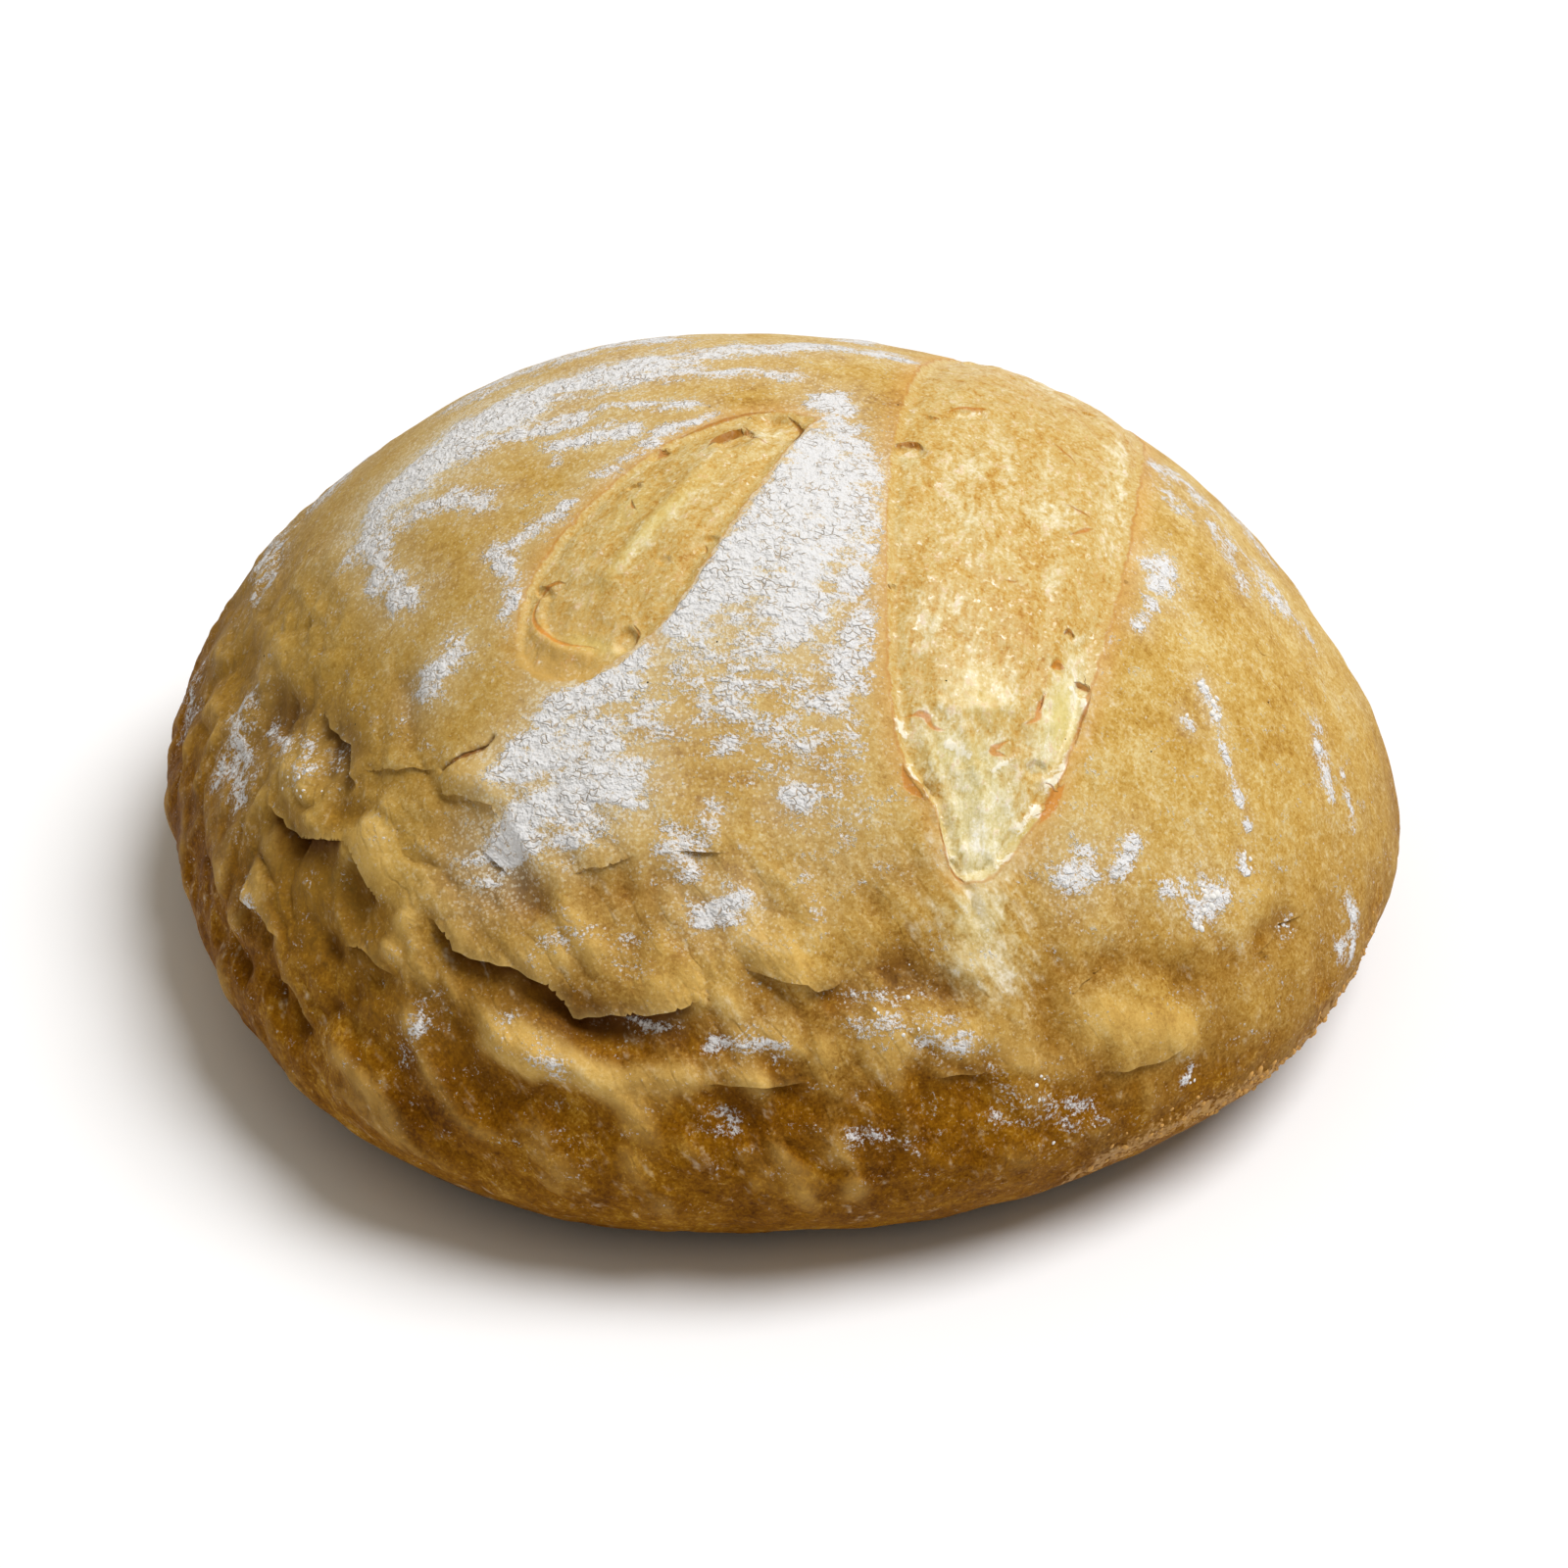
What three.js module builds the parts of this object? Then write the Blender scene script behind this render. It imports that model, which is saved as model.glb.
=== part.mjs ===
// A sourdough boule: one baked solid on its own flat base, with two scored openings in the
// crown, lifted crust plates over hollows down its front left side, and a rough foot.
//
// Millimetres, +Z up. X runs along the loaf's length and Y along its width. The crust is
// charted from the crown: a place (u, v) lies hypot(u, v) mm down the crust from the crown,
// in the direction of (u, v) seen from above.

import * as THREE from 'three';
import { mergeVertices } from 'three/addons/utils/BufferGeometryUtils.js';

// ---------------------------------------------------------------- driving dimensions, mm

const LENGTH = 230;
const WIDTH = 216;
const HEIGHT = 109;
const BELLY_HEIGHT = 25;          // the level where the loaf is widest
const FOOT_SHARE = 0.84;          // radius of the resting face over the widest radius
const FOOT_ROUNDING = 2.4;        // power of the curve from the belly in to the foot
const CROWN_FULLNESS = 0.92;      // below 1 the shoulders are fuller than an ellipse's
const CROWN_FLATNESS = 1.5;       // above 1 the slope runs straighter to the crown
const SQUARENESS = 2.16;          // power of the footprint's ellipse
const LOBES = [                   // slow waves of the footprint: count, share, azimuth of a crest
  { count: 3, share: 0.027, crest: 17 },
  { count: 4, share: 0.007, crest: -14 },
  { count: 5, share: 0.0076, crest: 16 },
];

// Each scored opening is a closed outline on the chart, rim point by rim point.
const OPENINGS = [
  {
    rim: [[5, -2], [-5, -1], [-17, -7], [-34, -24], [-45, -41], [-46, -56],
      [-37, -62], [-22, -55], [-8, -33], [2, -10]],
    along: -129,                  // direction of its length on the chart, degrees
    groove: 2.2,                  // depth of the groove inside the rim
    bulge: 1.0,                   // rise of the torn crumb in its middle
    deep: { at: [-38, -50], reach: 15, depth: 1.6 },
  },
  {
    rim: [[54, 80], [38, 62], [25, 29], [19, -8], [18, -36], [21, -66], [29, -85], [39, -97],
      [48, -86], [56, -60], [61, -35], [66, 0], [71, 40], [66, 68]],
    along: -96,
    groove: 2.4,
    bulge: 1.2,
    deep: { at: [39, -84], reach: 17, depth: 3.0 },
  },
];
const LIP = 0.7;                  // how far the crust curls up at an opening's rim
const LIP_REACH = 4;
const GROOVE_AT = 2.0;            // the groove is deepest this far inside the rim
const BULGE_REACH = 11;
const WRINKLE = 0.6;              // lengthwise wrinkles of the torn crumb
const WRINKLE_PITCH = 5;
const WRINKLE_LENGTH = 26;

// Each ledge is the torn edge of a crust plate. The plate lies on the left of its path and
// is lifted; on the right the surface drops into a hollow that runs out over reach.
const LEDGES = [
  { path: [[-88, -9], [-93, -16], [-96, -22]], lift: 0.7, drop: 1.6, reach: 8 },
  { path: [[-92, -43], [-85, -53], [-80, -64], [-72, -67], [-62, -72]], lift: 1.0, drop: 2.4, reach: 10 },
  { path: [[-61, -72], [-61, -77], [-54, -79], [-48, -84]], lift: 1.0, drop: 1.7, reach: 7 },
  { path: [[-108, -54], [-100, -65], [-89, -74], [-82, -79], [-76, -94]], lift: 1.1, drop: 3.0, reach: 11 },
  { path: [[-89, -89], [-85, -96], [-79, -97]], lift: 0.7, drop: 1.5, reach: 7 },
  { path: [[-107, -92], [-105, -98], [-101, -106]], lift: 0.6, drop: 1.6, reach: 8 },
  { path: [[-70, -93], [-61, -103], [-43, -111], [-37, -119], [-21, -119], [-10, -118]],
    lift: 1.3, drop: 3.4, reach: 11 },
  { path: [[-3, -111], [5, -114], [10, -115], [18, -111]], lift: 0.9, drop: 1.4, reach: 7 },
  { path: [[-42, -97], [-33, -95], [-22, -94]], lift: 0.6, drop: 1.1, reach: 6 },
  { path: [[33, -127], [41, -124], [51, -123]], lift: 0.6, drop: 1.2, reach: 8 },
  { path: [[80, -113], [86, -111], [93, -102]], lift: 0.6, drop: 1.3, reach: 8 },
];
const PLATE_REACH = 9;            // how far a plate's lift runs back from its edge
const LEDGE_TAPER = 5;            // a ledge dies out over this length at each end

// Dents (below 0) and swellings: place, half length, half width, direction in degrees, height.
const DIMPLES = [
  [-103, -34, 11, 7, -60, -1.5], [-73, -49, 9, 7, -50, -1.3], [-48, -93, 13, 5, -48, -1.6],
  [-88, -97, 16, 4, -38, -1.6], [-112, -95, 9, 6, -50, -1.4], [-28, -123, 13, 5, 0, -1.5],
  [3, -132, 18, 5, 0, -1.6], [-44, -133, 14, 5, -20, -1.0], [30, -111, 15, 4, 0, -1.5],
  [78, -94, 12, 5, -20, -1.3], [38, -132, 15, 5, 0, -1.1], [-92, -81, 11, 4, -55, 1.2],
  [-87, -103, 15, 4, -35, 1.3], [-51, -116, 12, 6, -15, 1.6], [-71, -104, 11, 6, -30, 1.2],
  [-11, -126, 14, 5, 0, 1.2], [79, -104, 13, 7, -10, 1.2], [31, -117, 14, 5, 0, 0.9],
  [-66, -87, 11, 7, -40, 1.0], [-4, -109, 14, 6, -10, 1.0],
];

const SWELL = { height: 1.3, pitch: 34 };        // slow unevenness of the whole crust
const DIMPLE = { height: 1.5, pitch: 12, flat: 0.62 };  // the puckered front left side
const DIMPLE_CENTRE = -128;       // azimuth of the most puckered side, degrees
const DIMPLE_SPREAD = 75;
const DIMPLE_REST = 0.28;         // share of it on the other sides
const DIMPLE_TOP = 74;            // it fades out above this height
const FOOT_RAG = 1.2;             // raggedness of the foot's edge
const FOOT_RAG_PITCH = 7;
const FOOT_FADE = 9;              // relief fades in over this height above the base

// ---------------------------------------------------------------- mesh sizes, mm

const GLOBE_DETAIL = 11;          // subdivision of the starting icosahedron
const FOOT_ANGLE = 138;           // polar angle of the starting globe that becomes the foot
const EDGE_FINE = 3.1;            // longest triangle side by a rim or a ledge
const EDGE_SIDE = 6.2;            // on the puckered side
const EDGE_PLAIN = 8.5;           // elsewhere
const FINE_BAND = 2.4;            // half width of the fine band along a rim or a ledge
const EDGE_GROWTH = 0.9;          // triangle sides grow this much for each mm beyond the band
const SNAP = 1.2;                 // vertices this near to a rim or a ledge move onto it
const SNAP_GAP = 1.1;             // least distance between two such vertices on a line
const FOOT_SNAP = 2.4;            // the same as SNAP, for the foot's edge
const ON_LINE = 1e-6;             // nearer than this is on the line itself
const REFINE_PASSES = 3;

const DEG = Math.PI / 180;
const CRUST = new THREE.MeshStandardMaterial({ color: 0xd0a45c, roughness: 0.82, metalness: 0 });

// ---------------------------------------------------------------- small maths

const clamp01 = (x) => Math.min(1, Math.max(0, x));
const smooth = (x) => clamp01(x) ** 2 * (3 - 2 * clamp01(x));
const mix = (a, b, t) => a + (b - a) * t;

// A repeatable number from 0 to 1 for each lattice point.
function lattice(i, j, k) {
  const s = Math.sin(i * 127.1 + j * 311.7 + k * 74.7) * 43758.5453;
  return s - Math.floor(s);
}

// Smooth noise from -1 to 1, with one lump for each unit of length.
function noise(x, y, z) {
  const [i, j, k] = [Math.floor(x), Math.floor(y), Math.floor(z)];
  const [a, b, c] = [smooth(x - i), smooth(y - j), smooth(z - k)];
  const row = (dj, dk) => mix(lattice(i, j + dj, k + dk), lattice(i + 1, j + dj, k + dk), a);
  return 2 * mix(mix(row(0, 0), row(1, 0), b), mix(row(0, 1), row(1, 1), b), c) - 1;
}

// ---------------------------------------------------------------- the plain form

// Share of the radius, and height, down one meridian from the crown to the foot's edge.
const PROFILE_STEPS = 120;
const PROFILE = [];
for (let i = 0; i <= PROFILE_STEPS; i++) {
  const lift = (1 - i / PROFILE_STEPS) * Math.PI / 2;
  const height = BELLY_HEIGHT + (HEIGHT - BELLY_HEIGHT) * Math.sin(lift) ** CROWN_FLATNESS;
  PROFILE.push([Math.cos(lift) ** CROWN_FULLNESS, height]);
}
for (let i = 1; i <= PROFILE_STEPS / 4; i++) {
  const drop = i / (PROFILE_STEPS / 4);
  PROFILE.push([1 - (1 - FOOT_SHARE) * drop ** FOOT_ROUNDING, BELLY_HEIGHT * (1 - drop)]);
}

function footprintRadius(azimuth) {
  const across = Math.abs(Math.cos(azimuth) / (LENGTH / 2)) ** SQUARENESS;
  const deep = Math.abs(Math.sin(azimuth) / (WIDTH / 2)) ** SQUARENESS;
  const waves = LOBES.map((w) => 1 + w.share * Math.cos(w.count * (azimuth - w.crest * DEG)));
  return waves.reduce((radius, wave) => radius * wave, (across + deep) ** (-1 / SQUARENESS));
}

// Length of the crust from the crown to the foot's edge.
function crustLength(radius) {
  let length = 0;
  for (let i = 1; i < PROFILE.length; i++) {
    const [[r0, z0], [r1, z1]] = [PROFILE[i - 1], PROFILE[i]];
    length += Math.hypot((r1 - r0) * radius, z1 - z0);
  }
  return length;
}

// The plain form's point, arc mm down the crust from the crown and on under the base.
function pointDown(arc, azimuth) {
  const radius = footprintRadius(azimuth);
  let [left, r, z] = [arc, 0, HEIGHT];
  for (let i = 1; i < PROFILE.length; i++) {
    const [[r0, z0], [r1, z1]] = [PROFILE[i - 1], PROFILE[i]];
    const step = Math.hypot((r1 - r0) * radius, z1 - z0);
    const share = Math.min(1, left / step);
    [r, z] = [mix(r0, r1, share) * radius, mix(z0, z1, share)];
    left -= step;
    if (left <= 0) break;
  }
  const inward = Math.max(0, left);
  return new THREE.Vector3(Math.cos(azimuth), Math.sin(azimuth), 0)
    .multiplyScalar(Math.max(0, r - inward)).setZ(z);
}

const pointAt = (u, v) => pointDown(Math.hypot(u, v), Math.atan2(v, u));

function normalAt(u, v) {
  const reach = 0.8;
  const acrossU = pointAt(u + reach, v).sub(pointAt(u - reach, v));
  const acrossV = pointAt(u, v + reach).sub(pointAt(u, v - reach));
  return acrossU.cross(acrossV).normalize();
}

// ---------------------------------------------------------------- places on the chart

const toVectors = (points) => points.map(([u, v]) => new THREE.Vector2(u, v));

for (const opening of OPENINGS) {
  const curve = new THREE.CatmullRomCurve3(
    toVectors(opening.rim).map((p) => new THREE.Vector3(p.x, p.y, 0)), true);
  opening.outline = curve.getPoints(opening.rim.length * 6).map((p) => new THREE.Vector2(p.x, p.y));
}
for (const ledge of LEDGES) {
  ledge.edge = toVectors(ledge.path);
}
const CHAINS = [...OPENINGS.map((o) => o.outline), ...LEDGES.map((l) => l.edge)];

// Nearest place on a chain of points: its distance, which side of it (u, v) lies on (+1 on
// the left, 0 on the chain itself), and the length of chain before and after it.
function nearest(chain, u, v) {
  let best = { distance: Infinity };
  let walked = 0;
  for (let i = 1; i < chain.length; i++) {
    const [a, b] = [chain[i - 1], chain[i]];
    const [du, dv] = [b.x - a.x, b.y - a.y];
    const length = Math.hypot(du, dv);
    const share = clamp01(((u - a.x) * du + (v - a.y) * dv) / length ** 2);
    const foot = new THREE.Vector2(a.x + du * share, a.y + dv * share);
    const distance = Math.hypot(u - foot.x, v - foot.y);
    if (distance < best.distance) {
      const side = distance < ON_LINE ? 0 : Math.sign(du * (v - a.y) - dv * (u - a.x));
      best = { distance, side, foot, before: walked + length * share };
    }
    walked += length;
  }
  best.after = walked - best.before;
  return best;
}

// ---------------------------------------------------------------- relief, mm along the normal

function openingRelief(opening, u, v) {
  const rim = nearest(opening.outline, u, v);
  const inside = rim.distance * rim.side;       // the outlines run anticlockwise
  if (inside <= 0) {
    return LIP * Math.exp(inside / LIP_REACH);
  }
  const [cos, sin] = [Math.cos(opening.along * DEG), Math.sin(opening.along * DEG)];
  const [along, across] = [u * cos + v * sin, v * cos - u * sin];
  const groove = opening.groove * inside / GROOVE_AT * Math.exp(1 - inside / GROOVE_AT);
  const bulge = opening.bulge * smooth(inside / BULGE_REACH);
  const wrinkle = WRINKLE * noise(across / WRINKLE_PITCH, along / WRINKLE_LENGTH, 0.5);
  const { at, reach, depth } = opening.deep;
  const hollow = depth * Math.exp(-(((u - at[0]) ** 2 + (v - at[1]) ** 2) / reach ** 2));
  return bulge + wrinkle * smooth(inside / WRINKLE_PITCH) - groove - hollow * smooth(inside / 3);
}

function ledgeRelief(ledge, u, v) {
  const edge = nearest(ledge.edge, u, v);
  const taper = smooth(Math.min(edge.before, edge.after) / LEDGE_TAPER);
  if (edge.side >= 0) {
    return taper * ledge.lift * Math.exp(-edge.distance / PLATE_REACH);
  }
  return -taper * ledge.drop * (1 - smooth(edge.distance / ledge.reach));
}

function dimpleRelief([atU, atV, halfLength, halfWidth, turn, height], u, v) {
  const [cos, sin] = [Math.cos(turn * DEG), Math.sin(turn * DEG)];
  const along = ((u - atU) * cos + (v - atV) * sin) / halfLength;
  const across = ((v - atV) * cos - (u - atU) * sin) / halfWidth;
  return height * Math.exp(-(along ** 2 + across ** 2));
}

// Share of puckering: full low on the front left side, little on the others and the crown.
function puckering(point) {
  const away = Math.atan2(point.y, point.x) - DIMPLE_CENTRE * DEG;
  const turned = Math.abs(Math.atan2(Math.sin(away), Math.cos(away))) / (DIMPLE_SPREAD * DEG);
  const side = mix(1, DIMPLE_REST, smooth(turned - 0.35));
  return side * smooth((DIMPLE_TOP - point.z) / 25);
}

function crustRelief(point, u, v) {
  let height = 0;
  let torn = 0;
  for (const opening of OPENINGS) {
    const relief = openingRelief(opening, u, v);
    const rim = nearest(opening.outline, u, v);
    torn = Math.max(torn, rim.side > 0 ? 1 : 0);
    height += relief;
  }
  for (const ledge of LEDGES) {
    height += ledgeRelief(ledge, u, v);
  }
  for (const dimple of DIMPLES) {
    height += dimpleRelief(dimple, u, v);
  }
  const { x, y, z } = point;
  const swell = SWELL.height * noise(x / SWELL.pitch, y / SWELL.pitch, z / SWELL.pitch);
  const level = DIMPLE.pitch * DIMPLE.flat;
  const pucker = DIMPLE.height * noise(x / DIMPLE.pitch, y / DIMPLE.pitch, z / level + 7);
  return height + swell + pucker * puckering(point) * (1 - torn);
}

// ---------------------------------------------------------------- the mesh

// Chart place of a direction of the starting globe.
function chartPlace(direction) {
  const azimuth = Math.atan2(direction.y, direction.x);
  const polar = Math.acos(THREE.MathUtils.clamp(direction.z, -1, 1)) / DEG;
  const radius = footprintRadius(azimuth);
  const crust = crustLength(radius);
  const under = FOOT_SHARE * radius * (polar - FOOT_ANGLE) / (180 - FOOT_ANGLE);
  const arc = polar < FOOT_ANGLE ? crust * polar / FOOT_ANGLE : crust + under;
  return { arc, azimuth, crust, u: arc * Math.cos(azimuth), v: arc * Math.sin(azimuth) };
}

function edgeDistance(u, v) {
  return Math.min(...CHAINS.map((chain) => nearest(chain, u, v).distance));
}

// Longest side wanted for a triangle at a chart place.
function wantedSide(place) {
  if (place.arc > place.crust + EDGE_SIDE) return Infinity;
  const puckered = puckering(pointDown(place.arc, place.azimuth)) > 0.5;
  const beyond = Math.max(0, edgeDistance(place.u, place.v) - FINE_BAND);
  return Math.min(puckered ? EDGE_SIDE : EDGE_PLAIN, EDGE_FINE + EDGE_GROWTH * beyond);
}

// Splits every triangle side that is longer than wanted, at its middle.
function refine(directions, triangles) {
  const points = directions.map((d) => {
    const place = chartPlace(d);
    return pointDown(place.arc, place.azimuth);
  });
  const middles = new Map();
  const middleOf = (a, b) => {
    const key = a < b ? `${a}_${b}` : `${b}_${a}`;
    if (!middles.has(key)) {
      const middle = directions[a].clone().add(directions[b]).normalize();
      const long = points[a].distanceTo(points[b]) > wantedSide(chartPlace(middle));
      if (long) directions.push(middle);
      middles.set(key, long ? directions.length - 1 : -1);
    }
    return middles.get(key);
  };
  return triangles.flatMap(([a, b, c]) => {
    const [ab, bc, ca] = [middleOf(a, b), middleOf(b, c), middleOf(c, a)];
    const split = [ab, bc, ca].filter((m) => m >= 0).length;
    if (split === 0) return [[a, b, c]];
    if (split === 3) return [[a, ab, ca], [ab, b, bc], [ca, bc, c], [ab, bc, ca]];
    // turn the triangle until its first side is split and, of two, the third is not
    const turns = [[a, b, c, ab, bc, ca], [b, c, a, bc, ca, ab], [c, a, b, ca, ab, bc]];
    const turned = turns.find((t) => t[3] >= 0 && t[5] < 0);
    const [p, q, r, pq, qr] = turned;
    if (split === 1) return [[p, pq, r], [pq, q, r]];
    return [[pq, q, qr], [p, pq, r], [pq, qr, r]];
  });
}

// Where a chart place goes if it is near a rim, a ledge or the foot's edge, else null.
function placeOnLine(place) {
  const toFoot = Math.abs(place.arc - place.crust);
  if (toFoot < FOOT_SNAP) {
    const [u, v] = [place.crust * Math.cos(place.azimuth), place.crust * Math.sin(place.azimuth)];
    return { ...place, u, v, arc: place.crust, shift: toFoot };
  }
  const closest = CHAINS.map((chain) => nearest(chain, place.u, place.v))
    .reduce((best, found) => (found.distance < best.distance ? found : best));
  if (closest.distance > SNAP) return null;
  const { x: u, y: v } = closest.foot;
  return { ...place, u, v, arc: Math.hypot(u, v), azimuth: Math.atan2(v, u), shift: closest.distance };
}

// Moves places onto the lines they are near, the nearest first, but none right beside one
// that has moved, and never all three corners of a triangle.
function snapToLines(places, triangles) {
  const moves = places.map(placeOnLine);
  const order = moves.map((move, i) => i).filter((i) => moves[i]);
  order.sort((a, b) => moves[a].shift - moves[b].shift);
  const taken = [];
  for (const i of order) {
    const { u, v } = moves[i];
    if (taken.some((other) => Math.hypot(other.u - u, other.v - v) < SNAP_GAP)) {
      moves[i] = null;
    } else {
      taken.push(moves[i]);
    }
  }
  for (const corners of triangles) {
    if (corners.every((i) => moves[i])) {
      const farthest = corners.reduce((far, i) => (moves[i].shift > moves[far].shift ? i : far));
      moves[farthest] = null;
    }
  }
  return places.map((place, i) => moves[i] ?? place);
}

function crustPoint(place) {
  const point = pointDown(place.arc, place.azimuth);
  if (place.arc > place.crust) return point;
  const [u, v] = [place.arc * Math.cos(place.azimuth), place.arc * Math.sin(place.azimuth)];
  const relief = crustRelief(point, u, v) * smooth(point.z / FOOT_FADE);
  const rag = FOOT_RAG * noise(point.x / FOOT_RAG_PITCH, point.y / FOOT_RAG_PITCH, 3)
    * (1 - smooth(point.z / FOOT_FADE));
  const outward = new THREE.Vector3(point.x, point.y, 0).normalize();
  return point.clone().addScaledVector(normalAt(u, v), relief).addScaledVector(outward, rag);
}

function loafGeometry() {
  const globe = new THREE.IcosahedronGeometry(1, GLOBE_DETAIL);
  globe.deleteAttribute('normal');
  globe.deleteAttribute('uv');
  const merged = mergeVertices(globe, 1e-4);
  const at = merged.attributes.position;
  const directions = [];
  for (let i = 0; i < at.count; i++) {
    directions.push(new THREE.Vector3().fromBufferAttribute(at, i).normalize());
  }
  const index = [...merged.index.array];
  let triangles = [];
  for (let i = 0; i < index.length; i += 3) {
    triangles.push(index.slice(i, i + 3));
  }
  for (let pass = 0; pass < REFINE_PASSES; pass++) {
    triangles = refine(directions, triangles);
  }
  const points = snapToLines(directions.map(chartPlace), triangles).map(crustPoint);
  const loaf = new THREE.BufferGeometry();
  loaf.setAttribute('position', new THREE.Float32BufferAttribute(points.flatMap((p) => [p.x, p.y, p.z]), 3));
  loaf.setIndex(triangles.flat());
  loaf.computeVertexNormals();
  loaf.computeBoundingBox();
  const middle = loaf.boundingBox.getCenter(new THREE.Vector3());
  return loaf.translate(-middle.x, -middle.y, -loaf.boundingBox.min.z);
}

const loaf = new THREE.Mesh(loafGeometry(), CRUST);
loaf.name = 'loaf';

const group = new THREE.Group();
group.add(loaf);
export default group;
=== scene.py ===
"""A sourdough boule, about 233 mm long: one baked crust with two scored openings in its crown,
lifted crust plates over hollows down its front left side, a rough foot and a dusting of flour.

Lengths are millimetres until a piece is finished, and then metres. The crust is charted from
the crown: a place (u, v) lies hypot(u, v) mm down the crust from the crown, in the direction
of (u, v) seen from above.
"""

import math

import bpy
import numpy as np
from mathutils import Matrix, Vector


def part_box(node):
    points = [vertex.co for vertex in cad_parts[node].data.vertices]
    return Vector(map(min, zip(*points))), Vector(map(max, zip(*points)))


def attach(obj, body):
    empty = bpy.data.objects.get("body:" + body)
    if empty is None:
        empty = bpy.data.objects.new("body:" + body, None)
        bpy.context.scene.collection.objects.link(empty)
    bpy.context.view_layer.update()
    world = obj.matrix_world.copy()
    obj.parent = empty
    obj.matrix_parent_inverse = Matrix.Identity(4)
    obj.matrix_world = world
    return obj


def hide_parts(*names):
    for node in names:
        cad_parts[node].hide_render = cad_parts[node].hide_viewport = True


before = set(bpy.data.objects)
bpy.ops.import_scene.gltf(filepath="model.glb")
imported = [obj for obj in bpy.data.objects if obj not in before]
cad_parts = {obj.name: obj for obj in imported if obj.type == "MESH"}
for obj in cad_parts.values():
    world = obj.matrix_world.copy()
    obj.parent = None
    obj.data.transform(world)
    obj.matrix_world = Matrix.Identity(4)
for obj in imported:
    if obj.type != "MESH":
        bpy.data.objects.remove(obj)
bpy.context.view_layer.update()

MM = 0.001

# ------------------------------------------------------------------ the loaf's sizes

LENGTH, WIDTH, HEIGHT = 230, 216, 109       # of the plain form, before its lobes and relief
BELLY_HEIGHT = 25               # the level where the loaf is widest
FOOT_SHARE = 0.84               # radius of the resting face over the widest radius
FOOT_ROUNDING = 2.4             # power of the curve from the belly in to the foot
CROWN_FULLNESS = 0.92           # below 1 the shoulders are fuller than an ellipse's
CROWN_FLATNESS = 1.5            # above 1 the slope runs straighter to the crown
SQUARENESS = 2.16               # power of the footprint's ellipse
LOBES = [(3, 0.027, 17), (4, 0.007, -14), (5, 0.0076, 16)]   # count, share, azimuth of a crest
PROFILE_STEPS = 120

# Each opening: its rim, anticlockwise on the chart, the direction of its length, the rise of its
# middle, its deep end (place, reach, depth) and the end where its rim is flush (place, reach).
OPENINGS = [
    {
        "rim": [(5, -2), (-5, -1), (-17, -7), (-34, -24), (-45, -41), (-46, -56),
                (-37, -62), (-22, -55), (-8, -33), (2, -10)],
        "along": -129, "bulge": 0.9, "deep": ((-38, -50), 14, 0.6), "flush": ((-41, -60), 14),
    },
    {
        "rim": [(54, 80), (38, 62), (25, 29), (19, -8), (18, -36), (20.5, -66),
                (23.5, -75.5), (29.5, -82), (33, -90.2), (36, -93.2), (42, -91.2), (47.5, -84),
                (52.5, -73), (56, -60), (61, -35), (66, 0), (71, 40), (66, 68)],
        "along": -96, "bulge": 1.1, "deep": ((40, -84), 15, 1.7), "flush": ((58, 84), 16),
    },
]
RIM_STEPS = 6                   # points of the rim's curve between two of its places
OPENING_SPAN = 20               # an opening shapes the crust up to this far outside its rim
LIP, LIP_REACH = 0.18, 2.5      # height of the skin's lip round a rim, and how far out it runs
SUNK = 0.22                     # the torn crumb starts this far below the crust
STEP_WIDTH = 1.6                # width of the step down to it
GROOVE, GROOVE_AT, GROOVE_WIDTH = 0.25, 1.5, 1.3        # depth, distance from the rim, width
BULGE_REACH = 11                # the rise of the middle is full this far from the rim
KNOT_HEIGHT, KNOT_PITCH, KNOT_FADE = 0.3, 3.4, 2        # knots of the torn crumb
# Wrinkles of the torn crumb: height, pitch across and along the opening, layer of the noise.
TORN_WRINKLES = [(0.45, 6, 19, 0.5), (0.28, 3, 7, 3.5), (0.14, 1.6, 3, 6.5)]
TORN_FADE = 3                   # they fade in over this distance from the rim
TORN_GRAIN_LENGTH = 2           # how far the crumb's grain is drawn out along the opening
GRAIN_APART = 50                # keeps the grains of the two openings from looking the same
RIM_FIELD = 6                   # distances from a rim are kept up to this one

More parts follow.
